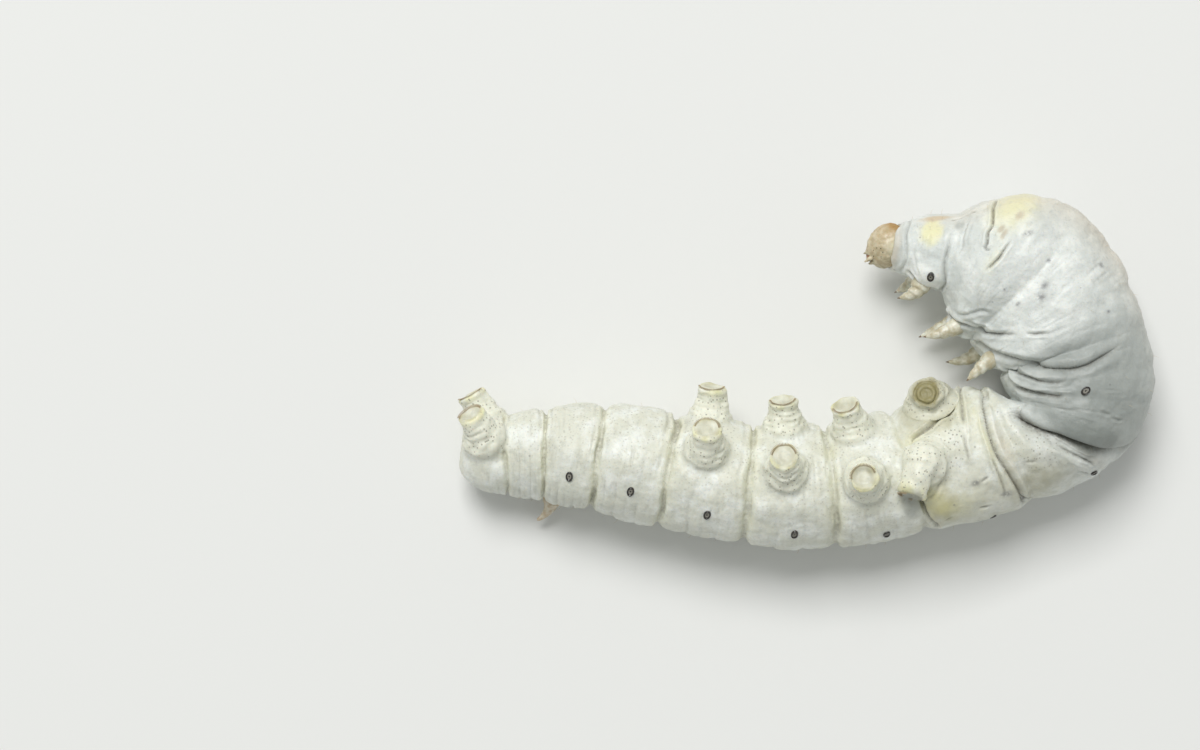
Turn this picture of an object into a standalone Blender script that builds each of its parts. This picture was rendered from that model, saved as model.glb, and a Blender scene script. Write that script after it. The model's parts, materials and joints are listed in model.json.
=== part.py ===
"""Full-grown silkworm, the larva of the domestic silk moth, at life size.

It lies curled on its right side. The head and the swollen thorax come round in an open C, and the belly of
the middle segments is rolled up to face the sky. +Z is up, +X runs from the tail towards the curve of the
back, and the origin is on the floor under the middle of the larva's box. Lengths here are in mm, and angles in
degrees.

A place on the body is (s, angle). s counts segments from the neck at 0, past the end of the prothorax at 1,
to the end of the tail at 13. Seen from the head, angle 0 is the back, 90 the left flank, 180 the belly and 270
the right flank.
"""

import math
from collections import namedtuple

import bpy
import numpy as np

MM = 0.001
GAP = 0.25
BOX_CENTRE = (16.52, 0.19)

Segment = namedtuple("Segment", "name start lift grooves headings half_depths half_widths rolls")
# start is where its front end lies in plan, lift how far that end clears the floor, and grooves the depth of
# the groove there as a share, at the back and at the belly. The others hold a value for the front end and one
# for the middle: a heading is the way that the tail lies, and a roll turns the belly up.
SEGMENTS = (
    Segment("prothorax", (23.76, 10.32), 3.4, (0.0, 0.0), (-8, -10), (1.9, 2.6), (1.9, 2.75), (-19, -19)),
    Segment("mesothorax", (28.08, 9.84), 2.2, (0.05, 0.07), (-14, -27), (3.35, 5.95), (3.4, 5.05), (-15, -9)),
    Segment("metathorax", (34.16, 7.8), 0.2, (0.01, 0.06), (-43, -57), (6.8, 6.65), (5.35, 5.4), (-4, 0)),
    Segment("abdomen_1", (37.76, 2.08), 0.0, (0.01, 0.11), (-72, -88), (6.25, 6.05), (5.4, 5.4), (3, 8)),
    Segment("abdomen_2", (38.0, -3.52), 0.0, (0.03, 0.2), (-107, -131), (5.3, 5.0), (5.15, 5.1), (38, 66)),
    Segment("abdomen_3", (32.56, -5.6), 0.0, (0.08, 0.08), (-155, -163), (5.0, 5.0), (5.2, 5.35), (71, 71)),
    Segment("abdomen_4", (24.72, -7.68), 0.0, (0.09, 0.1), (-163, -167), (4.95, 4.95), (5.2, 5.15), (66, 60)),
    Segment("abdomen_5", (18.4, -8.96), 0.0, (0.08, 0.1), (-175, -181), (4.9, 4.9), (5.05, 5.05), (53, 46)),
    Segment("abdomen_6", (11.84, -8.8), 0.0, (0.08, 0.1), (-186, -189), (4.8, 4.8), (4.95, 4.95), (40, 35)),
    Segment("abdomen_7", (5.44, -7.6), 0.0, (0.08, 0.1), (-190, -190), (4.65, 4.6), (4.8, 4.7), (31, 28)),
    Segment("abdomen_8", (-0.16, -6.64), 0.0, (0.09, 0.1), (-188, -186), (4.35, 4.2), (4.45, 4.25), (25, 23)),
    Segment("abdomen_9", (-4.48, -6.4), 0.1, (0.09, 0.1), (-181, -179), (3.8, 3.5), (3.8, 3.5), (22, 21)),
    Segment("abdomen_10", (-7.6, -6.56), 0.3, (0.08, 0.08), (-176, -175), (3.15, 2.95), (3.2, 3.05), (20, 20)),
)
TAIL_TIP = Segment(
    "tail_tip", (-11.40, -6.90), 0.6, (0.0, 0.0), (-175, -175), (2.70, 2.70), (2.85, 2.85), (20, 20)
)
TAIL = len(SEGMENTS)
PROTHORAX, ABDOMEN, LAST = 0, 3, TAIL - 1

# How far the soft body settles on the floor, which sets the width of its flats.
FLOOR_SINK = 0.25

# Rings and points round the body, and where the rings stand along a segment as shares of its length.
POINTS_ROUND = 24
RINGS = (0.0, 0.07, 0.17, 0.30, 0.38, 0.50, 0.62, 0.70, 0.83, 0.93, 1.0)
TAIL_RINGS = (0.0, 0.10, 0.24, 0.40, 0.56, 0.70, 0.82, 0.91, 0.97)
TAIL_SHOULDER = 0.30

# A groove's reach along the body, and the shallow rings inside a segment as (place, depth).
GROOVE_REACH = 0.17
ANNULETS = ((0.34, 0.018), (0.66, 0.022))
ANNULET_WIDTH = 0.055
# The long fold under the abdomen's spiracles.
FLANK_FOLD_ANGLE, FLANK_FOLD_WIDTH, FLANK_FOLD_HEIGHT = 120.0, 16.0, 0.03

# Spiracles: (place along the segment, angle) by segment, the rim's half height and half width, and its outline
# as (share, height).
SPIRACLES = {PROTHORAX: (0.72, 121), 3: (0.55, 102), 4: (0.49, 86), 5: (0.36, 80)}
SPIRACLES |= {index: (0.45, 91) for index in range(6, 11)}
SPIRACLE_HALF = (0.40, 0.28)
SPIRACLE_OUTLINE = ((1.0, -0.45), (1.0, 0.06), (0.82, 0.13), (0.50, 0.05))
FLOOR_CLEARANCE = 0.5

Limb = namedtuple("Limb", "name segment place angle aim")
# aim is how far the limb reaches tailwards, bellywards and towards its own side.
LEFT_LEGS = (
    Limb("left_foreleg", 0, 0.60, 152, (-1.66, 1.40, 0.3)),
    Limb("left_midleg", 1, 0.47, 162, (-1.92, 1.81, 0.3)),
    Limb("left_hindleg", 2, 0.62, 163, (0.53, 2.50, 0.3)),
)
# How much further the right legs reach, as the rolled body draws them together. The hind one points ahead.
RIGHT_LEG_REACH = (0.0, 0.6, 0.0)
RIGHT_HINDLEG = Limb("right_hindleg", 2, 0.42, 199, (-0.95, 2.75, -0.8))
LEFT_PROLEGS = (
    Limb("left_proleg_1", 5, 0.88, 164, (1.7, -0.4, 2.2)),
    Limb("left_proleg_2", 6, 0.58, 153, (0.3, 2.2, 0.9)),
    Limb("left_proleg_3", 7, 0.58, 153, (0.3, 2.3, 0.7)),
    Limb("left_proleg_4", 8, 0.58, 153, (0.3, 2.3, 0.6)),
    Limb("left_clasper", 12, 0.42, 145, (0.9, 2.1, 0.4)),
)
RIGHT_PROLEG_1 = Limb("right_proleg_1", 5, 0.62, 225, (0.3, 2.5, -0.1))
HORN = Limb("caudal_horn", 10, 0.80, 0, (1.1, -1.7, 0.0))

# A limb's thickest half thickness, and its outline as (share of its length, share of its thickness).
LEG_HALF, PROLEG_HALF, HORN_HALF = 0.64, 1.55, 0.62
LEG_OUTLINE = (
    (0.0, 1.0), (0.22, 0.96), (0.29, 0.80), (0.52, 0.74), (0.58, 0.58), (0.80, 0.42), (0.86, 0.20), (1.0, 0.04),
)
PROLEG_OUTLINE = (
    (0.0, 1.0), (0.30, 0.82), (0.60, 0.68), (0.72, 0.71), (0.90, 0.69), (1.0, 0.57), (0.97, 0.42), (0.93, 0.35),
)
HORN_OUTLINE = ((0.0, 1.0), (0.25, 0.75), (0.6, 0.48), (0.88, 0.3), (1.0, 0.12))
ROOT_DEPTH = 0.9
LIMB_POINTS = 12

# The head: its half length, half width and half height, how far it stands out of the neck, and its tilt.
HEAD_HALF = (1.68, 1.62, 1.85)
HEAD_FORWARD, HEAD_TILT = 0.70, 21.0
FACE_FLATNESS, JAW_TAPER = 0.12, 0.22
HEAD_RISES = (-75, -60, -45, -30, -15, 0, 15, 30, 45, 60, 75)
# Mouthparts in the head's own directions, as (forward, left, up) places and half sizes.
MOUTHPARTS = (
    ((1.00, 0.00, -1.22), (0.30, 0.50, 0.26)),
    ((0.72, 0.34, -1.50), (0.34, 0.34, 0.36)),
    ((0.72, -0.34, -1.50), (0.34, 0.34, 0.36)),
    ((0.10, 0.00, -1.65), (0.50, 0.58, 0.34)),
    ((0.36, 0.00, -1.88), (0.16, 0.14, 0.24)),
)
# Simple eyes on the left cheek, as (turn from straight ahead, rise).
STEMMATA = ((52, -20), (58, -9), (69, -4), (80, -10), (83, -24), (60, -36))
STEMMA_HALF = 0.11
ANTENNA_PLACE, ANTENNA_AIM, ANTENNA_HALF = (52, -46), (0.26, 0.30, -0.32), 0.16
ANTENNA_OUTLINE = ((0.0, 1.0), (0.35, 0.95), (0.42, 0.7), (0.8, 0.62), (0.86, 0.35), (1.0, 0.2))

Finish = namedtuple("Finish", "colour roughness")
SKIN = Finish((0.74, 0.73, 0.67), 0.45)
PROLEG_SKIN = Finish((0.78, 0.72, 0.55), 0.50)
LEG_HORN = Finish((0.72, 0.62, 0.46), 0.40)
HEAD_HORN = Finish((0.55, 0.33, 0.17), 0.38)
TAIL_HORN = Finish((0.66, 0.60, 0.48), 0.45)


def along(values, t):
    """Smooth value at t in a list whose entries stand at 0, 1, 2 and so on."""
    last = len(values) - 1
    i = min(max(math.floor(t), 0), last - 1)
    f = t - i
    here = np.asarray(values[i], float)
    after = np.asarray(values[i + 1], float)
    before = np.asarray(values[i - 1], float) if i else 2 * here - after
    beyond = np.asarray(values[i + 2], float) if i + 2 <= last else 2 * after - here
    bend = 2 * before - 5 * here + 4 * after - beyond
    ease = 3 * (here - after) + beyond - before
    return here + 0.5 * f * (after - before + f * (bend + f * ease))


def each_half(field):
    """A field's front and middle values for every segment, as one list."""
    values = [value for segment in SEGMENTS for value in getattr(segment, field)]
    return values + [getattr(TAIL_TIP, field)[0]]


WITH_TIP = (*SEGMENTS, TAIL_TIP)
STARTS = [segment.start for segment in WITH_TIP]
LIFTS = [segment.lift for segment in WITH_TIP]
HEADINGS = each_half("headings")
HALF_DEPTHS = each_half("half_depths")
HALF_WIDTHS = each_half("half_widths")
ROLLS = each_half("rolls")


def unit(vector):
    """The vector at length one."""
    return np.asarray(vector, float) / np.linalg.norm(vector)


def turned(vector, axis, degrees):
    """The vector turned about an axis that is square to it."""
    turn = math.radians(degrees)
    return vector * math.cos(turn) + np.cross(axis, vector) * math.sin(turn)


def half_depth(s):
    """From the middle of the body to its back."""
    return along(HALF_DEPTHS, 2 * s)


def half_width(s):
    """From the middle of the body to its flank."""
    return along(HALF_WIDTHS, 2 * s)


def spine_point(s):
    """Middle of the body at s, as high as its lower side needs to rest on the floor."""
    roll = math.radians(along(ROLLS, 2 * s))
    below = math.hypot(half_depth(s) * math.sin(roll), half_width(s) * math.cos(roll))
    x, y = along(STARTS, s) - np.array(BOX_CENTRE)
    return np.array([x, y, below - FLOOR_SINK + along(LIFTS, s)])


def body_frame(s):
    """Directions towards the tail, the back and the left flank at s."""
    heading = math.radians(along(HEADINGS, 2 * s))
    tail = np.array([math.cos(heading), math.sin(heading), 0.0])
    up = np.array([0.0, 0.0, 1.0])
    roll = along(ROLLS, 2 * s)
    return tail, turned(np.cross(up, tail), tail, -roll), turned(up, tail, -roll)


def fullness(s, angle):
    """How full the skin stands at this place, as a share of the plain oval."""
    belly = 0.5 - 0.5 * math.cos(math.radians(angle))
    end = min(max(round(s), 0), TAIL)
    at_back, at_belly = WITH_TIP[end].grooves
    groove = at_back + (at_belly - at_back) * belly
    share = 1.0 - groove * max(0.0, 1.0 - abs(s - end) / GROOVE_REACH) ** 1.6
    u = s % 1.0
    if s > 1:
        for place, depth in ANNULETS:
            share -= depth * (1 - belly) * math.exp(-(((u - place) / ANNULET_WIDTH) ** 2))
    if s > ABDOMEN:
        off = abs(180 - abs(180 - angle) - FLANK_FOLD_ANGLE) / FLANK_FOLD_WIDTH
        share += FLANK_FOLD_HEIGHT * math.exp(-(off**2)) * math.sqrt(math.sin(math.pi * u))
    past = max(0.0, s - LAST - TAIL_SHOULDER) / (1.0 - TAIL_SHOULDER)
    return share * math.sqrt(max(0.0, 1.0 - past**2))


def skin_point(s, angle, proud=0.0, forward=0.0):
    """A point of the skin, or one that stands proud of it and forward of it. The floor flattens it."""
    angle %= 360
    tail, back, left = body_frame(s)
    turn = math.radians(angle)
    full = fullness(s, angle)
    point = spine_point(s) - tail * forward
    point += back * (half_depth(s) * full + proud) * math.cos(turn)
    point += left * (half_width(s) * full + proud) * math.sin(turn)
    point[2] = max(point[2], -proud)
    return point


def skin_directions(s, angle):
    """Directions out of the skin and along it towards the tail."""
    ds, turn = 0.03, 3.0
    tailward = skin_point(s + ds, angle) - skin_point(s - ds, angle)
    around = skin_point(s, angle + turn) - skin_point(s, angle - turn)
    return unit(np.cross(around, tailward)), unit(tailward)


def material(name, finish):
    """A plain finish under the name of its piece."""
    made = bpy.data.materials.new(name)
    made.use_nodes = True
    shader = made.node_tree.nodes["Principled BSDF"]
    shader.inputs["Base Color"].default_value = (*finish.colour, 1.0)
    shader.inputs["Roughness"].default_value = finish.roughness
    shader.inputs["Metallic"].default_value = 0.0
    return made


def piece(name, points, faces, finish):
    """An object from points in mm, with its own origin at their middle."""
    middle = np.mean(points, axis=0)
    mesh = bpy.data.meshes.new(name)
    mesh.from_pydata([tuple((p - middle) * MM) for p in np.asarray(points)], [], faces)
    mesh.materials.append(material(name, finish))
    made = bpy.data.objects.new(name, mesh)
    made.location = middle * MM
    bpy.context.scene.collection.objects.link(made)
    return made


def loft(name, rings, finish, start=None, end=None):
    """A closed skin over rings of equally many points. Each end closes on a point or its ring's middle."""
    count = len(rings[0])
    points = [p for ring in rings for p in ring]
    points.append(np.mean(rings[0], axis=0) if start is None else start)
    points.append(np.mean(rings[-1], axis=0) if end is None else end)
    first, last = len(points) - 2, len(points) - 1
    faces = []
    for i in range(count):
        j = (i + 1) % count
        for a in range(0, first - count, count):
            faces.append((a + i, a + j, a + count + j, a + count + i))
        faces.append((first, j, i))
        faces.append((last, first - count + i, first - count + j))
    return piece(name, points, faces, finish)


def oval(centre, side, other, half, other_half, count):
    """Points of an oval ring that runs from side to other."""
    turns = [2 * math.pi * i / count for i in range(count)]
    return [centre + side * half * math.cos(t) + other * other_half * math.sin(t) for t in turns]


def square_to(direction, hint):
    """Two directions square to this one, the first as near the hint as can be."""
    side = unit(hint - direction * np.dot(direction, hint))
    return side, np.cross(direction, side)


def combine(body, operation, tools):
    """Adds the tools to the body or cuts them from it, as one closed surface, and removes them."""
    for tool in tools:
        change = body.modifiers.new(operation, "BOOLEAN")
        change.operation = operation
        change.object = tool
        change.use_self = True
    bpy.context.view_layer.update()
    finished = body.evaluated_get(bpy.context.evaluated_depsgraph_get())
    mesh = bpy.data.meshes.new_from_object(finished)
    keep = body.data.materials[0]
    mesh.materials.clear()
    mesh.materials.append(keep)
    body.modifiers.clear()
    body.data = mesh
    for tool in tools:
        bpy.data.objects.remove(tool)
    return body


def body_segment(index):
    """One segment, parted from its neighbours by half the gap at each end."""
    marks = TAIL_RINGS if index == LAST else RINGS
    rings = []
    for u in marks:
        forward = GAP / 2 * ((u == 1.0) - (u == 0.0))
        rings.append([skin_point(index + u, a, 0.0, forward) for a in ring_angles()])
    end = spine_point(TAIL) if index == LAST else None
    return loft(SEGMENTS[index].name, rings, SKIN, end=end)


def ring_angles():
    """Angles of the points round the body."""
    return [360.0 * i / POINTS_ROUND for i in range(POINTS_ROUND)]


def spiracle(index, angle):
    """The raised oval rim of a breathing hole and its plate, or nothing where the floor presses on it."""
    s = index + SPIRACLES[index][0]
    seat = skin_point(s, angle)
    if seat[2] < FLOOR_CLEARANCE:
        return []
    out, tailward = skin_directions(s, angle)
    tall, across = square_to(out, np.cross(out, tailward))
    high, wide = SPIRACLE_HALF
    rings = [oval(seat + out * up, tall, across, high * k, wide * k, 10) for k, up in SPIRACLE_OUTLINE]
    return [loft("spiracle", rings, SKIN)]


def body_around(index):
    """The body near a limb's root, swollen by the gap, as a tool that parts the limb from the skin."""
    first, last = max(index - 1, 0), min(index + 1, LAST)
    marks = [i + u for i in range(first, last + 1) for u in (TAIL_RINGS if i == LAST else RINGS[:-1])]
    rings = [[skin_point(s, a, GAP) for a in ring_angles()] for s in marks]
    return loft("body_around", rings, SKIN)


def limb(plan, half, outline, finish):
    """A limb that leaves the skin squarely and then bends to its aim."""
    s, angle = plan.segment + plan.place, plan.angle % 360
    out, tailward = skin_directions(s, angle)
    tail, back, left = body_frame(s)
    own_side = left if angle < 180 else -left
    aim = tail * plan.aim[0] - back * plan.aim[1] + own_side * plan.aim[2]
    reach = np.linalg.norm(aim)
    root = skin_point(s, angle, GAP)
    side, other = square_to(out, tailward)
    rings = [oval(root - out * ROOT_DEPTH, side, other, half, half, LIMB_POINTS)]
    for length, thickness in outline:
        way = unit(out * (1 - length) + unit(aim) * length)
        middle = root + out * (1 - length) * length * reach + aim * length**2
        side, other = square_to(way, tailward)
        rings.append(oval(middle, side, other, half * thickness, half * thickness, LIMB_POINTS))
    return combine(loft(plan.name, rings, finish), "DIFFERENCE", [body_around(plan.segment)])


def mirrored(plan, more=(0.0, 0.0, 0.0)):
    """The same limb on the right, reaching a little more."""
    aim = tuple(np.add(plan.aim, more))
    return plan._replace(name=plan.name.replace("left", "right"), angle=360 - plan.angle, aim=aim)


def head_directions():
    """Middle of the head, and its directions forward, left and up."""
    tail, back, left = body_frame(0)
    forward = turned(-tail, left, -HEAD_TILT)
    up = turned(back, left, -HEAD_TILT)
    return spine_point(0) - tail * HEAD_FORWARD, forward, left, up


def head_point(turn, rise, proud=0.0):
    """A point of the head's shell, turn degrees left of straight ahead and rise degrees up."""
    centre, forward, left, up = head_directions()
    turn, rise = math.radians(turn), math.radians(rise)
    ahead = math.cos(rise) * math.cos(turn)
    across = math.cos(rise) * math.sin(turn)
    high = math.sin(rise)
    length = (HEAD_HALF[0] + proud) * (1 - FACE_FLATNESS * max(0, ahead) * (0.5 + 0.5 * high))
    width = (HEAD_HALF[1] + proud) * (1 - JAW_TAPER * max(0, -high))
    return centre + forward * length * ahead + left * width * across + up * (HEAD_HALF[2] + proud) * high


def head_shell(proud=0.0):
    """The head's closed shell. Its rear is cut flat to face the neck."""
    tail = body_frame(0)[0]
    neck = spine_point(0)
    turns = ring_angles()

    def clear(point):
        short = GAP / 2 + np.dot(point - neck, tail)
        return point - tail * max(0.0, short)

    rings = [[clear(head_point(turn, rise, proud)) for turn in turns] for rise in HEAD_RISES]
    start, end = (clear(head_point(0, pole, proud)) for pole in (-90, 90))
    return loft("head", rings, HEAD_HORN, start=start, end=end)


def blob(centre, directions, halves, count=8):
    """A small oval lump."""
    forward, left, up = (d * h for d, h in zip(directions, halves))
    rings = []
    for rise in (-50, 0, 50):
        turn = math.radians(rise)
        width = math.cos(turn)
        rings.append(oval(centre + up * math.sin(turn), forward, left, width, width, count))
    return loft("blob", rings, HEAD_HORN, start=centre - up, end=centre + up)


def head():
    """The head with its mouthparts and simple eyes fused on."""
    centre, *directions = head_directions()
    lumps = []
    for place, halves in MOUTHPARTS:
        middle = centre + sum(d * p for d, p in zip(directions, place))
        lumps.append(blob(middle, directions, halves))
    for turn, rise in STEMMATA:
        for way in (1, -1):
            lumps.append(blob(head_point(way * turn, rise), directions, [STEMMA_HALF] * 3, 6))
    return combine(head_shell(), "UNION", lumps)


def antenna(name, way):
    """A short feeler beside the jaws, parted from the head by the gap."""
    _, forward, left, up = head_directions()
    turn, rise = ANTENNA_PLACE
    root = head_point(way * turn, rise)
    ahead, across, high = ANTENNA_AIM
    aim = forward * ahead + left * across * way + up * high
    side, other = square_to(unit(aim), up)
    rings = [oval(root, side, other, ANTENNA_HALF, ANTENNA_HALF, 8)]
    for length, thickness in ANTENNA_OUTLINE:
        half = ANTENNA_HALF * thickness
        rings.append(oval(root + unit(aim) * GAP + aim * length, side, other, half, half, 8))
    return combine(loft(name, rings, HEAD_HORN), "DIFFERENCE", [head_shell(GAP / 2)])


def finish_object(made, frame):
    """Shades the piece smooth but for its sharp edges, and hangs it on the larva's frame."""
    made.data.shade_smooth()
    made.data.set_sharp_from_angle(angle=math.radians(50))
    made.parent = frame


def make_silkworm():
    """Makes every piece."""
    for old in list(bpy.data.objects):
        bpy.data.objects.remove(old)
    made = [head(), antenna("left_antenna", 1), antenna("right_antenna", -1)]
    for index in range(TAIL):
        rims = []
        if index in SPIRACLES:
            angle = SPIRACLES[index][1]
            rims = spiracle(index, angle) + spiracle(index, 360 - angle)
        made.append(combine(body_segment(index), "UNION", rims))
    for plan in LEFT_LEGS:
        right = RIGHT_HINDLEG if plan.segment == RIGHT_HINDLEG.segment else mirrored(plan, RIGHT_LEG_REACH)
        made += [limb(side, LEG_HALF, LEG_OUTLINE, LEG_HORN) for side in (plan, right)]
    for plan in LEFT_PROLEGS:
        right = RIGHT_PROLEG_1 if plan.segment == RIGHT_PROLEG_1.segment else mirrored(plan)
        made += [limb(side, PROLEG_HALF, PROLEG_OUTLINE, PROLEG_SKIN) for side in (plan, right)]
    made.append(limb(HORN, HORN_HALF, HORN_OUTLINE, TAIL_HORN))
    frame = bpy.data.objects.new("silkworm", None)
    bpy.context.scene.collection.objects.link(frame)
    for each in made:
        finish_object(each, frame)


make_silkworm()
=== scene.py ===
# %% [markdown]
# # A silkworm at life size
# A silkworm is the larva of the silk moth. This one is full grown, plain white, and lies curled on its right
# side. This lesson makes its finished look in Blender: one soft skin over the whole body, a horny head with
# jaws, eyes and feelers, three pairs of hooked legs, five pairs of fleshy prolegs, breathing holes and a
# small horn near the tail. A measured solid model gives the frame. Everything that is made here lies where
# that model lies, in metres.

# %% Open the measured model
import json
import math
from collections import namedtuple

import bpy
import numpy as np
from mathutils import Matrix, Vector, noise
from mathutils.bvhtree import BVHTree

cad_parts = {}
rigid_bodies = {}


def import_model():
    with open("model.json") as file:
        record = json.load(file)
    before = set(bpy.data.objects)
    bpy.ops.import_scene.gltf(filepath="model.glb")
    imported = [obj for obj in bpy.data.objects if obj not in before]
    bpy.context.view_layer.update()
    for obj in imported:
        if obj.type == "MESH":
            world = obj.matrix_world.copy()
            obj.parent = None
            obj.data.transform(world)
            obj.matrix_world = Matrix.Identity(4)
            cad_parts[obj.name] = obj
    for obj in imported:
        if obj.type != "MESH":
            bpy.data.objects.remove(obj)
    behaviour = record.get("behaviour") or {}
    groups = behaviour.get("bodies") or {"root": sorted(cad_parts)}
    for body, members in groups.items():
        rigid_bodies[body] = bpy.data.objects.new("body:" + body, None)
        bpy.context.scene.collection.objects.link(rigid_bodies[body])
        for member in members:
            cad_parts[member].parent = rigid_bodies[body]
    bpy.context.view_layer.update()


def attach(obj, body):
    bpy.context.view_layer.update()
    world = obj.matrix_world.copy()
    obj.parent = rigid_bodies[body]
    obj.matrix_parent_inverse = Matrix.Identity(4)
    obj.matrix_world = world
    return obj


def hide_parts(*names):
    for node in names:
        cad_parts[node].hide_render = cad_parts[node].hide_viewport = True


for old in list(bpy.data.objects):
    bpy.data.objects.remove(old)
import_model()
MM = 0.001


# %% [markdown]
# ## The plan of the body
# A silkworm's body is a soft tube of thirteen segments: three of the thorax, which carry the horny legs, and
# ten of the abdomen. A bent tube is easiest to hold as a short table. Each row says where a segment starts in
# plan, which way the tail lies, how deep and wide the body is, and how far it is rolled belly up. These are
# the same numbers as in the measured model, in millimetres and degrees, so that the skin falls exactly on it.

# %% The segments
Segment = namedtuple("Segment", "start lift grooves headings half_depths half_widths rolls")
PLAN = (
    Segment((23.76, 10.32), 3.4, (0.00, 0.00), (-8, -10), (1.90, 2.60), (1.90, 2.75), (-19, -19)),
    Segment((28.08, 9.84), 2.2, (0.05, 0.07), (-14, -27), (3.35, 5.95), (3.40, 5.05), (-15, -9)),
    Segment((34.16, 7.80), 0.2, (0.01, 0.06), (-43, -57), (6.80, 6.65), (5.35, 5.40), (-4, 0)),
    Segment((37.76, 2.08), 0.0, (0.01, 0.11), (-72, -88), (6.25, 6.05), (5.40, 5.40), (3, 8)),
    Segment((38.00, -3.52), 0.0, (0.03, 0.20), (-107, -131), (5.30, 5.00), (5.15, 5.10), (38, 66)),
    Segment((32.56, -5.60), 0.0, (0.08, 0.08), (-155, -163), (5.00, 5.00), (5.20, 5.35), (71, 71)),
    Segment((24.72, -7.68), 0.0, (0.09, 0.10), (-163, -167), (4.95, 4.95), (5.20, 5.15), (66, 60)),
    Segment((18.40, -8.96), 0.0, (0.08, 0.10), (-175, -181), (4.90, 4.90), (5.05, 5.05), (53, 46)),
    Segment((11.84, -8.80), 0.0, (0.08, 0.10), (-186, -189), (4.80, 4.80), (4.95, 4.95), (40, 35)),
    Segment((5.44, -7.60), 0.0, (0.08, 0.10), (-190, -190), (4.65, 4.60), (4.80, 4.70), (31, 28)),
    Segment((-0.16, -6.64), 0.0, (0.09, 0.10), (-188, -186), (4.35, 4.20), (4.45, 4.25), (25, 23)),
    Segment((-4.48, -6.40), 0.1, (0.09, 0.10), (-181, -179), (3.80, 3.50), (3.80, 3.50), (22, 21)),
    Segment((-7.60, -6.56), 0.3, (0.08, 0.08), (-176, -175), (3.15, 2.95), (3.20, 3.05), (20, 20)),
    Segment((-11.40, -6.90), 0.6, (0.0, 0.0), (-175, -175), (2.70, 2.70), (2.85, 2.85), (20, 20)),
)
TAIL = len(PLAN) - 1
ABDOMEN = 3
BOX_CENTRE = (16.52, 0.19)
FLOOR_SINK = 0.25
SEGMENT_NODES = ["prothorax", "mesothorax", "metathorax"] + [f"abdomen_{n}" for n in range(1, 11)]
print("segments:", TAIL, "from", SEGMENT_NODES[0], "to", SEGMENT_NODES[-1])

# %% [markdown]
# ## A smooth body from the table
# Between the rows the numbers have to run on without a kink, so they are read through a curve that passes
# through every entry. A place on the skin is then (s, angle): s counts segments from the neck, and the angle
# runs from the back at 0 over the left flank at 90 to the belly at 180. Folds, colours and breathing holes
# all use such places.


# %% Reading the table as curves
def along(values, t):
    """Smooth values at the places t of a list whose entries stand at 0, 1, 2 and so on."""
    values, t = np.asarray(values, float), np.asarray(t, float)
    padded = np.concatenate([[2 * values[0] - values[1]], values, [2 * values[-1] - values[-2]]])
    i = np.clip(np.floor(t).astype(int), 0, len(values) - 2)
    f = t - i
    if values.ndim > 1:
        f = f[..., None]
    before, here, after, beyond = (padded[i + k] for k in range(4))
    bend = 2 * before - 5 * here + 4 * after - beyond
    ease = 3 * (here - after) + beyond - before
    return here + 0.5 * f * (after - before + f * (bend + f * ease))


def each_half(field):
    """A field's front and middle values for every segment, as one list."""
    return [value for row in PLAN[:-1] for value in getattr(row, field)] + [getattr(PLAN[-1], field)[0]]


STARTS = [row.start for row in PLAN]
LIFTS = [row.lift for row in PLAN]
GROOVES = np.array([row.grooves for row in PLAN])
# The joint before the pocket is bridged by the skin that hangs over it, so it has no groove there.
BRIDGED_JOINT = 4
GROOVES[BRIDGED_JOINT] = 0.0
HEADINGS, ROLLS = each_half("headings"), each_half("rolls")
HALF_DEPTHS, HALF_WIDTHS = each_half("half_depths"), each_half("half_widths")


def body_at(s):
    """Middle of the body, its ways to the tail, back and left flank, and its half depth and half width."""
    s = np.asarray(s, float)
    depth, width = along(HALF_DEPTHS, 2 * s), along(HALF_WIDTHS, 2 * s)
    heading, roll = np.radians(along(HEADINGS, 2 * s)), np.radians(along(ROLLS, 2 * s))
    zero, one = np.zeros_like(s), np.ones_like(s)
    tail = np.stack([np.cos(heading), np.sin(heading), zero], -1)
    level = np.stack([-np.sin(heading), np.cos(heading), zero], -1)
    up = np.stack([zero, zero, one], -1)
    cosine, sine = np.cos(roll)[..., None], np.sin(roll)[..., None]
    back, left = level * cosine - up * sine, up * cosine + level * sine
    below = np.hypot(depth * np.sin(roll), width * np.cos(roll))
    plan = along(STARTS, s) - np.array(BOX_CENTRE)
    middle = np.concatenate([plan, (below - FLOOR_SINK + along(LIFTS, s))[..., None]], -1)
    return middle, tail, back, left, depth, width


print("middle of the body at the neck and the tail, mm:", body_at(0.0)[0].round(2), body_at(TAIL)[0].round(2))

# %% [markdown]
# The tube isn't quite round. It dips where two segments meet, it has two faint rings inside each segment, and
# a long soft fold runs along each flank below the breathing holes. One function holds these as shares of the
# plain oval.

# %% How full the skin stands
GROOVE_REACH, GROOVE_SHARPNESS = 0.17, 1.6
ANNULETS, ANNULET_WIDTH = ((0.34, 0.018), (0.66, 0.022)), 0.055
FLANK_FOLD_ANGLE, FLANK_FOLD_WIDTH, FLANK_FOLD_HEIGHT = 120.0, 16.0, 0.03
TAIL_SHOULDER, TAIL_TIP = 0.30, 0.012


def bell(x):
    """A soft hump of height one and half width about one."""
    return np.exp(-np.square(x))


def belly_side(angle):
    """0 on the back, 1 on the belly, and in between on the flanks."""
    return 0.5 - 0.5 * np.cos(np.radians(angle))


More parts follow.
